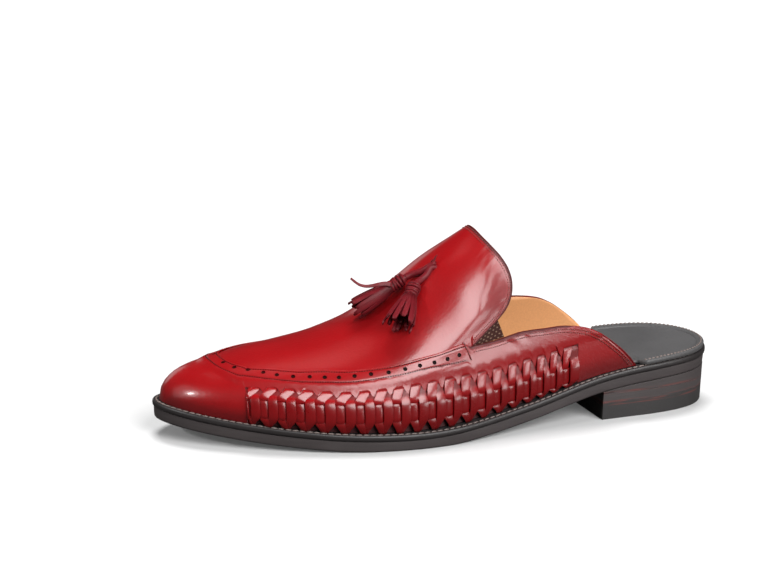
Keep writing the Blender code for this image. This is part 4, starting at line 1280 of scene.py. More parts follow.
# A hole's cup: radii as shares of the hole's own, and depths in millimetres.
HOLE_RADII = np.array([1.12, 1.06, 0.96, 0.92, 0.9, 0.0])
HOLE_DEPTHS = np.array([-0.35, -0.12, -0.12, -0.3, -0.72, -0.74])


def hole_frames():
    """Centre and outward direction of every hole of the apron band."""
    for side in (OUTER, INNER):
        for station, share in HOLES:
            girth = np.array([girth_of(side, share)])
            centre = skin(girth, np.array([station]), APRON_RISE)[0]
            yield centre, last_normal(girth, np.array([station]))[0]


def punch_holes(target, radius):
    """Cuts the apron's holes through the leather."""
    bm = bmesh.new()
    for centre, normal in hole_frames():
        matrix = Vector(normal).to_track_quat("Z", "X").to_matrix().to_4x4()
        matrix.translation = Vector(place(centre))
        bmesh.ops.create_cone(bm, cap_ends=True, segments=18, radius1=radius, radius2=radius,
                              depth=PUNCH_DEPTH * MM, matrix=matrix)
    punch = add_object("punch", mesh_of(bm, "punch"))
    cut = target.modifiers.new("holes", "BOOLEAN")
    cut.operation = "DIFFERENCE"
    cut.solver = "MANIFOLD"
    cut.object = punch
    graph = bpy.context.evaluated_depsgraph_get()
    done = bpy.data.meshes.new_from_object(target.evaluated_get(graph))
    target.modifiers.clear()
    target.data = done
    bpy.data.objects.remove(punch, do_unlink=True)


class MULE_OT_side_leather(bpy.types.Operator):
    """Side leather with the punched apron band, from the toe to the quarters' back edges"""
    bl_idname = "mule.side_leather"
    bl_label = "Side leather"

    def execute(self, context):
        bm = new_mesh()
        for side in (OUTER, INNER):
            add_side(bm, side)
        made = piece(bm, "side_leather", "red_leather", "upper_leather", "upper", thick=SHELL_THICK)
        radius = context.scene.mule_sizes.hole / 2
        punch_holes(made, radius)
        bm = new_mesh()
        for centre, normal in hole_frames():
            add_hole_shade_cup(bm, centre, normal, radius / MM)
        piece(bm, "hole_shade_cups", "hole_painted_shade", "upper_leather")
        return {"FINISHED"}


def add_hole_shade_cup(bm, centre, normal, radius):
    """Cup behind a punched hole: a thin lip, a wall and a floor, near black as painted shade."""
    across = unit_vectors(np.cross(normal, [0.0, 1.0, 0.2]))
    other = np.cross(normal, across)
    radii = radius * HOLE_RADII

    def cup(i, j):
        angle = 2 * math.pi * (i % 16) / 16
        ring = across * np.cos(angle)[:, None] + other * np.sin(angle)[:, None]
        return centre + ring * radii[j][:, None] + normal * HOLE_DEPTHS[j][:, None]
    sheet(bm, 16, len(radii) - 1, cup)


BINDING_INSET = 0.35
BINDING_DEPTH = 0.88
BINDING_RADIUS = 0.55
BINDING_FLAT = 1.95     # the binding is this much deeper than wide


class MULE_OT_vamp(bpy.types.Operator):
    """Vamp with the tongue, the lining, and the bound edges of tongue and quarters"""
    bl_idname = "mule.vamp"
    bl_label = "Vamp, lining and edges"

    def execute(self, context):
        bm = new_mesh()
        for side in (OUTER, INNER):
            add_vamp(bm, side)
        piece(bm, "vamp", "red_leather", "upper_leather", "upper", thick=SHELL_THICK)
        bm = new_mesh()
        for side in (OUTER, INNER):
            add_lining(bm, side)
        piece(bm, "lining", "lining_leather", "upper_leather", "upper", thick=LINING_THICK)
        bm = new_mesh()
        rims = (tongue_rim(BINDING_INSET), quarter_rim(OUTER, BINDING_INSET),
                quarter_rim(INNER, BINDING_INSET))
        for girths, stations in rims:
            route = skin(girths, stations, -BINDING_DEPTH + creases(girths, stations))
            normals = last_normal(girths, stations)
            tube(bm, route, BINDING_RADIUS, up=normals, flat=BINDING_FLAT, around=10)
        piece(bm, "bound_edges", "bound_edge", "upper_leather", "upper")
        return {"FINISHED"}


EDGE_SEAMS = (1.3, 2.5)         # insets of the two rows along the top edges
STITCH_FILL = 0.62              # share of the pitch that a stitch takes up
SEAM_WIDTH = 0.6
EDGE_SEAM_WIDTH = 0.62
TONGUE_SEAM_LIFT = 0.1
QUARTER_SEAM_LIFT = 0.44


class MULE_OT_seams(bpy.types.Operator):
    """Rows of stitches along the apron band and the top edges, with the bar tacks"""
    bl_idname = "mule.seams"
    bl_label = "Seams"

    def execute(self, context):
        pitch = context.scene.mule_sizes.seam_pitch / MM
        bm = new_mesh()
        for which in (0, 1):
            girths, stations = apron_line(which)
            stitch_row(bm, girths, stations, APRON_RISE - 0.12, pitch, STITCH_FILL * pitch, SEAM_WIDTH)
        piece(bm, "apron_stitches", "maroon_thread", "upper_leather")
        bm = new_mesh()
        for inset in EDGE_SEAMS:
            rows = ((tongue_rim(inset), TONGUE_SEAM_LIFT), (quarter_rim(OUTER, inset), QUARTER_SEAM_LIFT),
                    (quarter_rim(INNER, inset), QUARTER_SEAM_LIFT))
            for line, lift in rows:
                stitch_row(bm, *line, lift, pitch, STITCH_FILL * pitch, EDGE_SEAM_WIDTH)
        for side in (OUTER, INNER):
            add_bar_tack(bm, side)
        piece(bm, "edge_stitches", "edge_thread", "upper_leather")
        return {"FINISHED"}


def add_bar_tack(bm, side):
    """Close row of long stitches across the end of the apron band."""
    low, high, _ = band_spots(np.array([FAN + BAR_TACK_UNIT]))
    along = np.linspace(-0.1, 1.25, 40)
    shares = low[1] + (high[1] - low[1]) * along
    stations = 149.2 - 2.4 * along
    stitch_row(bm, girth_of(side, shares), stations, APRON_RISE - 0.05, 0.62, 1.9, 0.5, high=0.9)


# ---------------------------------------------------------------- the woven sides

# A strap from its slit at the edge down to the feather: middle and half width in units, and lift.
# The one goes over the long band, the other under it.
STRAP_OVER = Table("along unit level half lift", [
    (0.0, 0.48, 3.10, 0.27, -0.6), (0.04, 0.47, 3.02, 0.275, -0.12), (0.09, 0.46, 2.96, 0.275, 0.08),
    (0.15, 0.44, 2.89, 0.275, 0.2), (0.25, 0.395, 2.75, 0.27, 0.4), (0.40, 0.325, 2.48, 0.262, 0.75),
    (0.50, 0.285, 2.26, 0.258, 0.9), (0.58, 0.262, 2.08, 0.255, 0.65), (0.66, 0.255, 1.96, 0.25, 0.2),
    (0.75, 0.255, 0.8, 0.25, 0.15), (0.82, 0.275, 0.58, 0.235, 0.6), (0.90, 0.37, 0.33, 0.175, 0.75),
    (1.0, 0.49, 0.0, 0.11, 0.3),
])
STRAP_UNDER = Table("along unit level half lift", [
    (0.0, 0.80, 3.1, 0.21, -1.05), (0.12, 0.79, 2.9, 0.215, -0.8), (0.25, 0.785, 2.7, 0.22, -0.4),
    (0.37, 0.78, 2.45, 0.225, 0.15), (0.47, 0.785, 2.25, 0.23, 0.75), (0.55, 0.79, 2.05, 0.235, 1.25),
    (0.62, 0.79, 1.85, 0.24, 1.45), (0.72, 0.79, 1.2, 0.24, 1.4), (0.80, 0.785, 0.72, 0.235, 1.2),
    (0.86, 0.745, 0.5, 0.205, 0.8), (0.93, 0.655, 0.25, 0.15, 0.5), (1.0, 0.58, 0.0, 0.11, 0.0),
])
STRAP_STEPS = 24
# How far a strap dips at its rear edge above the band, like a tile, in millimetres.
TILE = Table("unit tilt", [(0, 0.55), (5, 0.5), (9, 0.15), (12, 0.0), (20, 0.0)])
WEAVE_START = 0.03      # where the first straps are cut off, in units
REAR_NARROWING = 0.14   # the straps grow narrower by this share towards the rear
STRAP_PAINTED_SHADE = 0.42      # painted shade on the long band, and on the straps from there down
STRAP_FOOT_PAINTED_SHADE = 0.2  # more painted shade on the straps' feet, by the welt
UNDER_PAINTED_SHADE = 0.55      # painted shade on the straps that go under, above the band, where the others shade them
CUT_EDGE_PAINTED_SHADE = 0.55        # painted shade along the straps' edges, where they meet
# painted shadow line where the straps that go over meet their slit
SLIT_END_PAINTED_SHADE = 0.5
CUT_SHADE_MOST = 0.6
# Across a strap, from edge to edge: place in half widths, and how far it is rolled down there.
CROWN_PLACES = np.array([-1.0, -0.93, -0.6, 0.0, 0.6, 0.93, 1.0])
CROWN_DROPS = np.array([0.40, 0.10, 0.02, 0.0, 0.02, 0.10, 0.40])


def add_strap(bm, side, unit, table):
    """One short strap, from its slit over or under the long band to the feather."""
    over = 1.0 if table is STRAP_OVER else 0.0

    def surface(i, j):
        middle, level, half, lift = table.row(i / STRAP_STEPS)
        place_in = np.full(len(i), float(unit))
        narrow = 1 - REAR_NARROWING * smooth(place_in, 12, 18)
        lean = SLANT.at("slant", place_in) * smooth(level, 2.0, EDGE_LEVEL)
        at = np.maximum(unit + middle + lean + half * narrow * CROWN_PLACES[j], WEAVE_START)
        station = strap_station(at)
        share = np.maximum(level_share(level, station), 0.0)
        if unit == UNITS - 1 and not over:
            # the last strap has no neighbour over its upper end, so it lies flush there
            flush = 0.2 - 0.9 * smooth(level, 2.88, EDGE_LEVEL)
            lift = np.where(level > 2.2, np.maximum(lift, flush), lift)
        tile = TILE.at("tilt", place_in) * smooth(level, 2.05, 2.5) * over
        points = skin(girth_of(side, share), station, lift - CROWN_DROPS[j] - tile * CROWN_PLACES[j])
        points[:, 2] -= np.where(level < 0.02, 0.35, 0.0)
        # painted shade: darker on the band and down to the feet, and on the under straps' upper parts
        shade = STRAP_PAINTED_SHADE * smooth(-level, -2.3, -1.9) + STRAP_FOOT_PAINTED_SHADE * smooth(-level, -0.7, -0.3)
        shade = shade - UNDER_PAINTED_SHADE * smooth(level, 2.3, 2.55) * (1 - over)
        # painted shade along each strap's edges and, on the straps that go over, a painted shadow line at
        # the slit
        cut = (CUT_EDGE_PAINTED_SHADE * (np.abs(CROWN_PLACES[j]) > 0.99)
               + SLIT_END_PAINTED_SHADE * smooth(level, 2.97, EDGE_LEVEL) * over)
        return points, np.where(cut > np.abs(shade), -np.minimum(cut, CUT_SHADE_MOST), shade)
    sheet(bm, STRAP_STEPS, len(CROWN_PLACES) - 1, surface, flip=side == OUTER)


BAND_STEPS = 10         # columns of the long band in each unit
BAND_LEVELS = np.array([0.60, 0.66, 0.9, 1.3, 1.75, 1.97, 2.03])
BAND_MARGIN = 0.04      # how far inside the weave its ends lie, in units
BAND_LIFT = 0.7
BAND_WAVE = 0.42        # how far it rises over one strap and sinks under the next
BAND_END_SINK = 0.3
WAVE_SHARPNESS = 2.2


def add_long_band(bm, side):
    """The long band that runs through the straps from end to end."""
    count = UNITS * BAND_STEPS

    def surface(i, j):
        unit = BAND_MARGIN + i * (UNITS - 2 * BAND_MARGIN) / count
        station = strap_station(unit)
        wave = np.tanh(WAVE_SHARPNESS * np.cos(2 * np.pi * (unit - 0.25))) / math.tanh(WAVE_SHARPNESS)
        ends = np.minimum(smooth(unit, 0.0, 0.3), smooth(UNITS - unit, 0.0, 0.3))
        lift = (BAND_LIFT + BAND_WAVE * wave) * ends - BAND_END_SINK * (1 - ends)
        share = level_share(BAND_LEVELS[j], station)
        points = skin(girth_of(side, share), station, lift - CROWN_DROPS[j])
        # painted shade over the whole long band
        return points, np.full(len(i), STRAP_PAINTED_SHADE)
    sheet(bm, count, len(BAND_LEVELS) - 1, surface, flip=side == INNER)


class MULE_OT_weave(bpy.types.Operator):
    """Woven straps along both sides"""
    bl_idname = "mule.weave"
    bl_label = "Weave"

    def execute(self, context):
        thickness = context.scene.mule_sizes.strap_thickness / MM
        for side, name in ((OUTER, "outer"), (INNER, "inner")):
            bm = new_mesh()
            for unit in range(UNITS):
                add_strap(bm, side, unit, STRAP_OVER)
                add_strap(bm, side, unit, STRAP_UNDER)
            add_strap(bm, side, -1, STRAP_UNDER)
            piece(bm, "weave_straps_" + name, "strap_leather", "upper_leather", "upper", thick=thickness)
            bm = new_mesh()
            add_long_band(bm, side)
            piece(bm, "weave_band_" + name, "strap_leather", "upper_leather", "upper", thick=thickness)
        return {"FINISHED"}


# ---------------------------------------------------------------- gores

GORE_CELLS = (18, 13)   # yarns along a gore and up it
GROUND_DEPTH = GORE_DEPTH + 0.25
YARN_DEPTH = GORE_DEPTH - 0.05
YARN_HALF = 0.45        # half the length of a yarn, in cells
YARN_WIDTH = 0.7
GORE_THICK = 0.7


def gore_spot(along, up):
    """(station, share) of a gore: along runs backwards and up from the quarter to the tongue."""
    low, low_share, high, high_share = GORE.row(along)
    return low + (high - low) * up, low_share + (high_share - low_share) * up


def gore_skin(side, along, up, depth):
    station, share = gore_spot(along, up)
    return skin(girth_of(side, share), station, -depth)


def add_yarn(bm, side, along, up):
    """One short yarn that shows on a gore's ground."""
    up = np.array([up])
    reach = YARN_HALF / GORE_CELLS[0]
    start, end = (gore_skin(side, np.array([along + step]), up, YARN_DEPTH)[0] for step in (-reach, reach))
    station, share = gore_spot(np.array([along]), up)
    normal = last_normal(girth_of(side, share), station)[0]
    length = np.linalg.norm(end - start)
    stitches(bm, [(start + end) / 2], [(end - start) / length], [normal], length, YARN_WIDTH, high=0.5)


class MULE_OT_gores(bpy.types.Operator):
    """Elastic gussets beside the tongue: a dark ground with a basket weave of lighter yarn"""
    bl_idname = "mule.gores"
    bl_label = "Gores"

    def execute(self, context):
        for side, name in ((OUTER, "outer"), (INNER, "inner")):
            bm = new_mesh()

            def ground(i, j):
                return gore_skin(side, i / 24, j / 16, GROUND_DEPTH)
            sheet(bm, 24, 16, ground, flip=side == INNER)
            piece(bm, "gore_ground_" + name, "gore_ground", "gore_elastic", "gore_" + name,
                  thick=GORE_THICK)
            bm = new_mesh()
            columns, rows = GORE_CELLS
            for column in range(columns):
                for row in range(column % 2, rows, 2):
                    add_yarn(bm, side, (column + 0.5) / columns, (row + 0.5) / rows)
            piece(bm, "gore_yarns_" + name, "gore_yarn", "gore_elastic", "gore_" + name)
        return {"FINISHED"}


# ---------------------------------------------------------------- thong and tassels

# Spots over the vamp, as (station, share on the outer side, lift).
KNOT = (141.0, 0.825, 2.4)
LACES = {
    "front": ((142.3, 0.84, 0.6), (141.0, 0.83, 2.5), (136.5, 0.85, 2.2), (132.5, 0.875, 3.0),
              (129.4, 0.882, 3.8)),
    "rear": ((142.3, 0.81, 0.4), (141.0, 0.82, 2.2), (137.0, 0.80, 1.9), (134.0, 0.79, 2.6),
             (131.4, 0.777, 3.9)),
}
# Head and tip of each tassel.
TASSEL_SPOTS = {
    "front": ((129.0, 0.882, 3.9), (104.0, 0.915, 6.0)),
    "rear": ((131.0, 0.775, 4.0), (117.4, 0.588, 7.4)),
}
TASSEL_FULLNESS = {"front": 0.76, "rear": 1.0}
TASSEL = Table("along radius", [
    (0.0, 1.8), (0.04, 3.0), (0.16, 3.5), (0.27, 3.2), (0.34, 3.9), (0.55, 5.6), (0.8, 7.2), (1.0, 8.0),
])
TASSEL_FLATNESS = 0.78
SKIRT_START = 0.34      # where along a tassel its strips come free
STRIP_STEPS = 14
STRIP_THICK = 0.7
STRIP_TIP = 0.7         # width of a strip's cut end, as a share of its own
REACH_SWAY = 0.05       # how unevenly the strips are cut off
OUTER_RING = 6.6        # radii on which the strips' widths are reckoned
INNER_RING = 5.2
INNER_SCALE = 0.66      # the inner ring's radius, as a share of the outer one's
SEEDS_APART = 40        # between the two tassels
INNER_SEED = 400
WINDINGS = 5
WINDING_THICK = 0.78
CORE_RADII = np.array([1.9, 2.5, 2.7, 2.8, 2.9, 3.0, 3.0, 2.8, 2.2, 1.2])
# The frayed end that stands up from the knot, from its middle.
FRAYED = ((0.5, 0.0, 1.0), (1.4, 0.1, 2.8), (1.9, 0.2, 4.4), (2.9, 0.2, 5.6))
# The strip that strays from the front tassel: station, across, height.
STRAY = ((118.7, -9.6, 73.6), (115.8, -8.9, 74.3), (112.3, -8.7, 74.1), (109.1, -8.1, 73.5),
         (105.6, -7.4, 73.3), (102.6, -6.6, 74.1), (100.3, -5.6, 75.7), (98.6, -4.8, 77.2))
STRAY_POINTS = 30


def over_vamp(spot):
    station, share, lift = spot
    return skin(np.array([share]), np.array([station]), np.array([lift]))[0]


def tassel_axes(name):
    """A tassel's head, its axis to the tip, and two unit directions across it."""
    head, tip = (over_vamp(spot) for spot in TASSEL_SPOTS[name])
    axis = tip - head
    station, share, _ = TASSEL_SPOTS[name][1]
    away = unit_vectors(tip - over_vamp((station, share, 0.0)))
    across = unit_vectors(np.cross(axis, away))
    return head, axis, across, unit_vectors(np.cross(across, axis))


def add_tassel_strip(bm, name, angle, width, reach, start, scale, seed):
    """One tapering strip of a tassel's skirt, curled a little at its free end."""
    head, axis, across, away = tassel_axes(name)
    wobble = np.random.default_rng(seed)
    tilt = wobble.uniform(-0.5, 0.5)
    twist = wobble.uniform(-0.14, 0.14)
    curl = wobble.uniform(-0.8, 0.7)
    sway = wobble.uniform(-0.1, 0.1)
    along = np.linspace(start, reach, STRIP_STEPS + 1)
    free = np.clip((along - SKIRT_START) / (1 - SKIRT_START), 0, 1)
    full = 1 + (TASSEL_FULLNESS[name] - 1) * free
    turn = angle + sway * free + twist * free ** 2
    radius = TASSEL.at("radius", np.minimum(along, 1.0)) * (scale * full) + curl * free ** 2
    outward = (across * np.cos(turn)[:, None] + away * (TASSEL_FLATNESS * np.sin(turn))[:, None])
    points = head + axis * along[:, None] + outward * radius[:, None]
    facing = turn + tilt * free
    normals = unit_vectors(across * np.cos(facing)[:, None] + away * np.sin(facing)[:, None])
    tip = np.where(np.arange(STRIP_STEPS + 1) == STRIP_STEPS, STRIP_TIP, 1.0)
    half = width * full * (0.38 + 0.06 * free) * tip
    strip, rows = band(points, half, normals)
    # painted shade on the strips near the head, where they bunch under the windings
    shade = 0.75 * (1 - smooth(along, 0.24, 0.5))
    sheet(bm, STRIP_STEPS, rows, lambda i, j: (strip(i, j), shade[i]))


def add_skirt(bm, name, number, count):
    """Ring of strips, and a shorter ring inside it that fills the skirt."""
    for k in range(count):
        reach = 1.0 + REACH_SWAY * math.sin(2.4 * k + number)
        add_tassel_strip(bm, name, 2 * math.pi * k / count, 2 * math.pi * OUTER_RING / count, reach,
                         0.2, 1.0, SEEDS_APART * number + k)
    inner = count * 2 // 3
    for k in range(inner):
        reach = 0.9 + REACH_SWAY * math.sin(1.7 * k)
        add_tassel_strip(bm, name, 2 * math.pi * (k + 0.4) / inner, 2 * math.pi * INNER_RING / inner,
                         reach, 0.25, INNER_SCALE, INNER_SEED + SEEDS_APART * number + k)


def add_ring(bm, centre, across, away, radius, thick, flat):
    """Closed round winding about a tassel's head or the knot."""
    axis = np.cross(across, away)

    def torus(i, j):
        a = 2 * np.pi * (i % 24) / 24
        b = 2 * np.pi * (j % 8) / 8
        out = across * np.cos(a)[:, None] + away * (flat * np.sin(a))[:, None]
        return centre + out * (radius + thick * np.cos(b))[:, None] + axis * (thick * np.sin(b))[:, None]
    sheet(bm, 24, 8, torus)


def add_tassel_head(bm, name):
    """Windings about the head, over the core that carries the strips."""
    head, axis, across, away = tassel_axes(name)
    for k in range(WINDINGS):
        along = 0.05 + 0.055 * k
        radius = float(TASSEL.at("radius", along)) - 0.35
        lean = unit_vectors(away + axis * 0.006 * (k % 3 - 1))
        add_ring(bm, head + axis * along, across, lean, radius, WINDING_THICK, 0.9)
    core = head + axis * np.linspace(-0.01, 0.62, len(CORE_RADII))[:, None]
    tube(bm, core, CORE_RADII, up=away, around=12)


def add_knot(bm):
    """Three turns of thong, each a little behind the last, and the frayed end."""
    centre = over_vamp(KNOT)
    up = np.array([0.15, -0.2, 1.0])
    for turn in range(3):
        angle = math.radians(58 * turn - 30)
        along = np.array([math.cos(angle) * 0.88, math.sin(angle) * 0.3, 0.38])
        side = unit_vectors(np.cross(up, along))
        shift = np.array([0.5 * turn - 0.5, 0.2 * turn, 0.1 * turn])
        add_ring(bm, centre + shift, unit_vectors(along), unit_vectors(up - 0.3 * side), 1.8, 1.1, 0.8)
    frayed = np.array([centre + np.array(step) for step in FRAYED])
    tube(bm, resampled(frayed, 12), np.linspace(0.75, 0.3, 12), around=8, up=(0, 1, 0))


class MULE_OT_tassels(bpy.types.Operator):
    """Thong with its knot, and the two tassels of cut leather strips"""
    bl_idname = "mule.tassels"
    bl_label = "Thong and tassels"

    def execute(self, context):
        sizes = context.scene.mule_sizes
        for number, name in enumerate(("front", "rear")):
            bm = new_mesh()
            add_skirt(bm, name, number, sizes.tassel_strips)
            piece(bm, "tassel_skirt_" + name, "oxblood_strips", "tassel_leather", "tassel_" + name,
                  thick=STRIP_THICK)
            bm = new_mesh()
            add_tassel_head(bm, name)
            piece(bm, "tassel_head_" + name, "oxblood_strips", "tassel_leather", "tassel_" + name)
        bm = new_mesh()
        for spots in LACES.values():
            route = resampled(np.array([over_vamp(spot) for spot in spots]), 26)
            tube(bm, route, sizes.thong / MM, around=10)
        add_knot(bm)
        piece(bm, "thong", "oxblood_strips", "tassel_leather", "tassel_lace")
        bm = new_mesh()
        route = resampled(np.array(STRAY), STRAY_POINTS)
        lifted = unit_vectors(np.broadcast_to(np.array([-0.3, -0.8, 0.5]), route.shape))
        strip, rows = band(route, np.linspace(1.2, 0.6, STRAY_POINTS), lifted)
        sheet(bm, STRAY_POINTS - 1, rows, strip)
        piece(bm, "tassel_stray_strip", "oxblood_strips", "tassel_leather", "tassel_front",
              thick=STRIP_THICK)
        return {"FINISHED"}


# ---------------------------------------------------------------- welt, sole and heel

def line_over(line, rise):
    """A height line moved up, or down where the rise is below zero."""
    return lambda x: line(x) + rise


def slab(bm, levels, angles):
    """Solid under the foot from levels of (inset, height), bottom up, over the given angles.

    An inset may be a function of (side, angle), and a height one of the station.
    """
    columns = len(angles) - 1
    rings = []
    for side, order in ((OUTER, levels), (INNER, levels[::-1])):
        for inset, height in order:
            offset = inset(side, angles) if callable(inset) else np.full(len(angles), float(inset))
            x, y = inset_rim(side, angles, offset)
            z = height(x) if callable(height) else np.full(len(angles), float(height))
            rings.append(np.stack([x, y, z], -1))
    rings = np.array(rings)
    around = len(rings)
    sheet(bm, columns, around, lambda i, j: rings[j % around, i])
    merge_points(bm)
    open_edges = [edge for edge in bm.edges if len(edge.link_faces) == 1]
    if open_edges:
        bmesh.ops.holes_fill(bm, edges=open_edges, sides=0)
    bmesh.ops.recalc_face_normals(bm, faces=bm.faces)


def sole_angles(first=0.0, count=150):
    return np.linspace(angle_at(first) if first else 0.0, math.pi, count + 1)


# The welt's section, as (inset from its edge, height over its top).
WELT_SECTION = (
    (0.9, -3.2), (0.35, -3.05), (0.08, -2.6), (0.0, -2.0), (0.0, -1.2), (0.12, -0.6), (0.45, -0.18),
    (0.9, 0.0), (1.25, -0.06), (1.5, -0.26), (2.3, -0.3), (2.8, -0.12), (4.0, -0.05), (9.0, -0.05),
    (9.0, -3.2),
)
WELT_SEAM = 1.95        # the welt's stitches, inset from its edge
WELT_SEAM_DEPTH = 0.08


def round_the_welt(inset, height):
    """Line round the welt at an inset: from the outer heel round the toe to the inner heel."""
    angles = np.linspace(math.pi, 0.0, 400)
    outer = inset_rim(OUTER, angles, inset)
    inner = inset_rim(INNER, angles[::-1][1:], inset)
    x, y = (np.concatenate(pair) for pair in zip(outer, inner))
    return np.stack([x, y, height(x)], -1)


def ring_stitches(bm, route, pitch, length, width, high, slant=0.0):
    """Stitches that lie flat along a line; slant turns each one out of the line."""
    run, at = evenly_along(route, pitch)
    centres = points_at(route, run, at)
    tangents = unit_vectors(points_at(route, run, at + 0.5) - centres)
    up = np.broadcast_to(np.array([0.0, 0.0, 1.0]), centres.shape)
    side = unit_vectors(np.cross(up, tangents))
    tangents = unit_vectors(tangents + side * slant)
    stitches(bm, centres, tangents, unit_vectors(np.cross(tangents, side)), length, width, high)


class MULE_OT_welt(bpy.types.Operator):
    """Welt with its rounded edge, seam channel and stitches"""
    bl_idname = "mule.welt"
    bl_label = "Welt"

    def execute(self, context):
        angles = np.linspace(0, math.pi, 161)
        bm = new_mesh()
        for side in (OUTER, INNER):
            rings = []
            for inset, drop in WELT_SECTION:
                x, y = inset_rim(side, angles, np.full(len(angles), inset))
                rings.append(np.stack([x, y, welt_top(x) + drop], -1))
            rings = np.array(rings)
            sheet(bm, len(angles) - 1, len(rings), lambda i, j: rings[j % len(rings), i])
        piece(bm, "welt_strip", "inked_welt", "welt_leather", "welt", sharp=60)
        bm = new_mesh()
        route = round_the_welt(WELT_SEAM, line_over(welt_top, -WELT_SEAM_DEPTH))
        pitch = context.scene.mule_sizes.welt_pitch / MM
        ring_stitches(bm, route, pitch, 0.96 * pitch, 0.95, 0.42, slant=0.10)
        piece(bm, "welt_stitches", "welt_thread", "welt_leather", "welt")
        return {"FINISHED"}


LIFT_BEVEL = 0.1        # rounding of the lifts' edges
LIFT_FACE = 2.5         # how far in from its sides a lift's flat faces are drawn
LIFT_CLEAR = 0.05       # between a lift and its neighbour


class MULE_OT_sole(bpy.types.Operator):
    """Leather outsole and the stacked heel with its rubber top piece"""
    bl_idname = "mule.sole"
    bl_label = "Outsole and heel"

    def execute(self, context):
        edge = OUTSOLE_INSET
        bm = new_mesh()
        slab(bm, [
            (edge + 3.0, line_over(outsole_foot, 0.02)), (edge + 1.2, outsole_foot),
            (edge + 0.45, line_over(outsole_foot, 0.15)), (edge + 0.1, line_over(outsole_foot, 0.6)),
            (edge, line_over(outsole_foot, 1.2)), (edge - 0.3, line_over(outsole_top, -0.6)),
            (edge - 0.3, line_over(outsole_top, 0.1)), (edge + 0.1, line_over(outsole_top, 0.25)),
            (edge + 3.0, line_over(outsole_top, 0.25)),
        ], sole_angles())
        piece(bm, "outsole_leather", "inked_sole_painted_light", "sole_leather", "outsole", sharp=60)
        angles = sole_angles(HEEL_BREAST, 60)

        def inset(height):
            share = height / float(outsole_foot(LENGTH))
            return HEEL_FOOT_INSET + (HEEL_INSET - HEEL_FOOT_INSET) * share

        def lift(name, foot, top, finish, slot, node):
            low = inset(foot)
            high = HEEL_INSET if callable(top) else inset(top)
            shoulder = line_over(top, -LIFT_BEVEL) if callable(top) else top - LIFT_BEVEL
            mesh = new_mesh()
            slab(mesh, [
                (low + LIFT_FACE, foot), (low + LIFT_BEVEL, foot), (low, foot + LIFT_BEVEL),
                (high, shoulder), (high + LIFT_BEVEL, top), (high + LIFT_FACE, top),
            ], angles)
            piece(mesh, name, finish, slot, node, sharp=40)
        lift("heel_upper_lift", LIFT_HIGH + LIFT_CLEAR, line_over(outsole_foot, -LIFT_CLEAR),
             "inked_lifts_painted_light", "sole_leather", "heel_wedge_lift")
        lift("heel_lower_lift", TOP_PIECE_HIGH + LIFT_CLEAR, LIFT_HIGH, "inked_lifts_painted_light", "sole_leather",
             "heel_middle_lift")
        lift("heel_rubber_piece", 0.0, TOP_PIECE_HIGH, "black_rubber", "heel_rubber", "heel_top_piece")
        return {"FINISHED"}


def bareness(station):
    """0 where the upper covers the insole and 1 at the bare heel."""
    return smooth(station, BARE_HEEL, BARE_HEEL + RIM_RUN)


def insole_edges():
    """Function of (side, angles) for the inset of the insole's edge from the rim of the welt."""
    feet = {}
    stations = TOE_POLE + (QUARTER_BACK.columns["station"][0] - TOE_POLE) * np.linspace(0, 1, 121) ** 1.5
    for side in (OUTER, INNER):
        feet[side] = skin(np.full(121, girth_of(side, 0.0)), stations, -WALL)[:, :2]

    def edge(side, angles):
        x, y = rim(side, np.clip(angles, END_ANGLE, math.pi - END_ANGLE))
        gaps = np.hypot(x[:, None] - feet[side][:, 0], y[:, None] - feet[side][:, 1])
        covered = gaps.min(axis=1) + INSOLE_CLEAR
        return covered + (RIM_EDGE - covered) * bareness(x)
    return edge


RIM_SEAM = 1.45         # the rim's stitches, inset from its outer face
RIM_PITCH = 2.3
RIM_STITCH = 1.8        # length of one


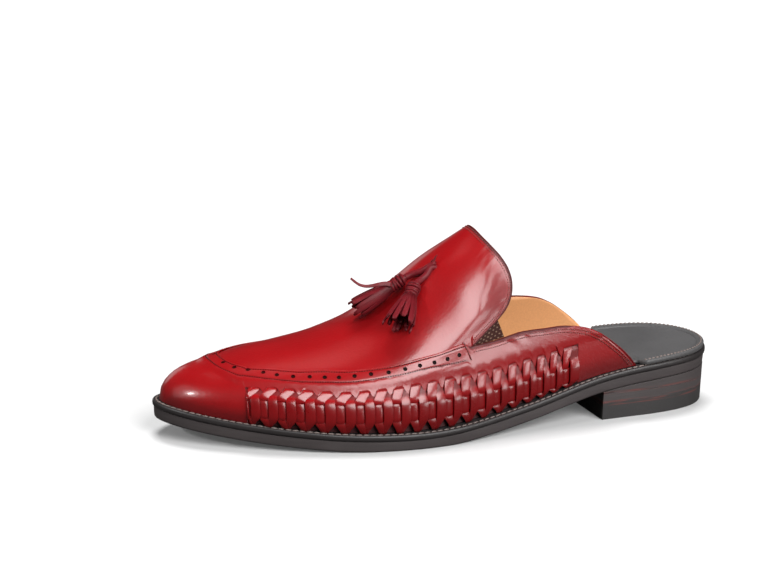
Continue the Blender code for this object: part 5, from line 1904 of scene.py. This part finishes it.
class MULE_OT_insole(bpy.types.Operator):
    """Sock with the stitched rim round the bare heel"""
    bl_idname = "mule.insole"
    bl_label = "Insole"

    def execute(self, context):
        edge = insole_edges()

        def inside(width):
            return lambda side, angles: edge(side, angles) + width

        def raised(drop, rise=RIM_RISE):
            def height(x):
                return welt_top(x) + INSOLE_RISE + (rise - INSOLE_RISE) * bareness(x) - drop
            return height
        seat = line_over(welt_top, GAP)
        rim_start = [angle_at(BARE_HEEL + step) for step in (0, 1, 2, 3, 4)]
        bm = new_mesh()
        slab(bm, [
            (WELT_WIDTH + GAP, line_over(outsole_top, GAP)), (WELT_WIDTH + GAP, seat),
            (inside(0.15), seat), (edge, line_over(seat, 0.2)),
            (edge, raised(0.75)), (inside(0.2), raised(0.35)), (inside(0.7), raised(0.06)),
            (inside(1.2), raised(0.0)), (inside(RIM_WIDE - 1.6), raised(0.06)),
            (inside(RIM_WIDE - 1.0), raised(0.2)), (inside(RIM_WIDE - 0.5), raised(0.35)),
            (inside(RIM_WIDE), raised(0.2, INSOLE_RISE)),
            (inside(RIM_WIDE + 0.5), raised(0.12, INSOLE_RISE)),
            (inside(RIM_WIDE + 1.2), raised(0.0, INSOLE_RISE)),
        ], np.unique(np.concatenate([sole_angles(), rim_start])))
        piece(bm, "sock", "dark_sock", "sock_leather", "insole", sharp=60)
        bm = new_mesh()
        angles = np.linspace(angle_at(BARE_HEEL + 3), math.pi, 200)
        halves = []
        for side in (OUTER, INNER):
            x, y = inset_rim(side, angles, edge(side, angles) + RIM_SEAM)
            halves.append(np.stack([x, y, raised(-0.02)(x)], -1))
        route = np.concatenate([halves[0], halves[1][-2::-1]])
        ring_stitches(bm, route, RIM_PITCH, RIM_STITCH, 0.9, 0.6)
        piece(bm, "rim_stitches", "welt_thread", "sock_leather", "insole")
        return {"FINISHED"}


# ---------------------------------------------------------------- panel and run

BUILD_ORDER = (
    MULE_OT_finishes, MULE_OT_stage, MULE_OT_sole, MULE_OT_welt, MULE_OT_insole, MULE_OT_vamp,
    MULE_OT_side_leather, MULE_OT_weave, MULE_OT_seams, MULE_OT_gores, MULE_OT_tassels,
)


class MULE_PT_panel(bpy.types.Panel):
    """Buttons for the shoe's pieces, and its sizes and colours"""
    bl_idname = "MULE_PT_panel"
    bl_label = "Woven tassel mule"
    bl_space_type = "VIEW_3D"
    bl_region_type = "UI"
    bl_category = "Mule"

    def draw(self, context):
        for operator in BUILD_ORDER:
            self.layout.operator(operator.bl_idname)
        for settings in (context.scene.mule_sizes, context.scene.mule_colours):
            for name in settings.__annotations__:
                self.layout.prop(settings, name)


CLASSES = (MULE_PG_sizes, MULE_PG_colours) + BUILD_ORDER + (MULE_PT_panel,)


def register():
    for made in CLASSES:
        bpy.utils.register_class(made)
    bpy.types.Scene.mule_sizes = PointerProperty(type=MULE_PG_sizes)
    bpy.types.Scene.mule_colours = PointerProperty(type=MULE_PG_colours)


def unregister():
    del bpy.types.Scene.mule_colours
    del bpy.types.Scene.mule_sizes
    for made in reversed(CLASSES):
        bpy.utils.unregister_class(made)


def main():
    register()
    for operator in BUILD_ORDER:
        family, name = operator.bl_idname.split(".")
        getattr(getattr(bpy.ops, family), name)()


if __name__ == "__main__":
    main()
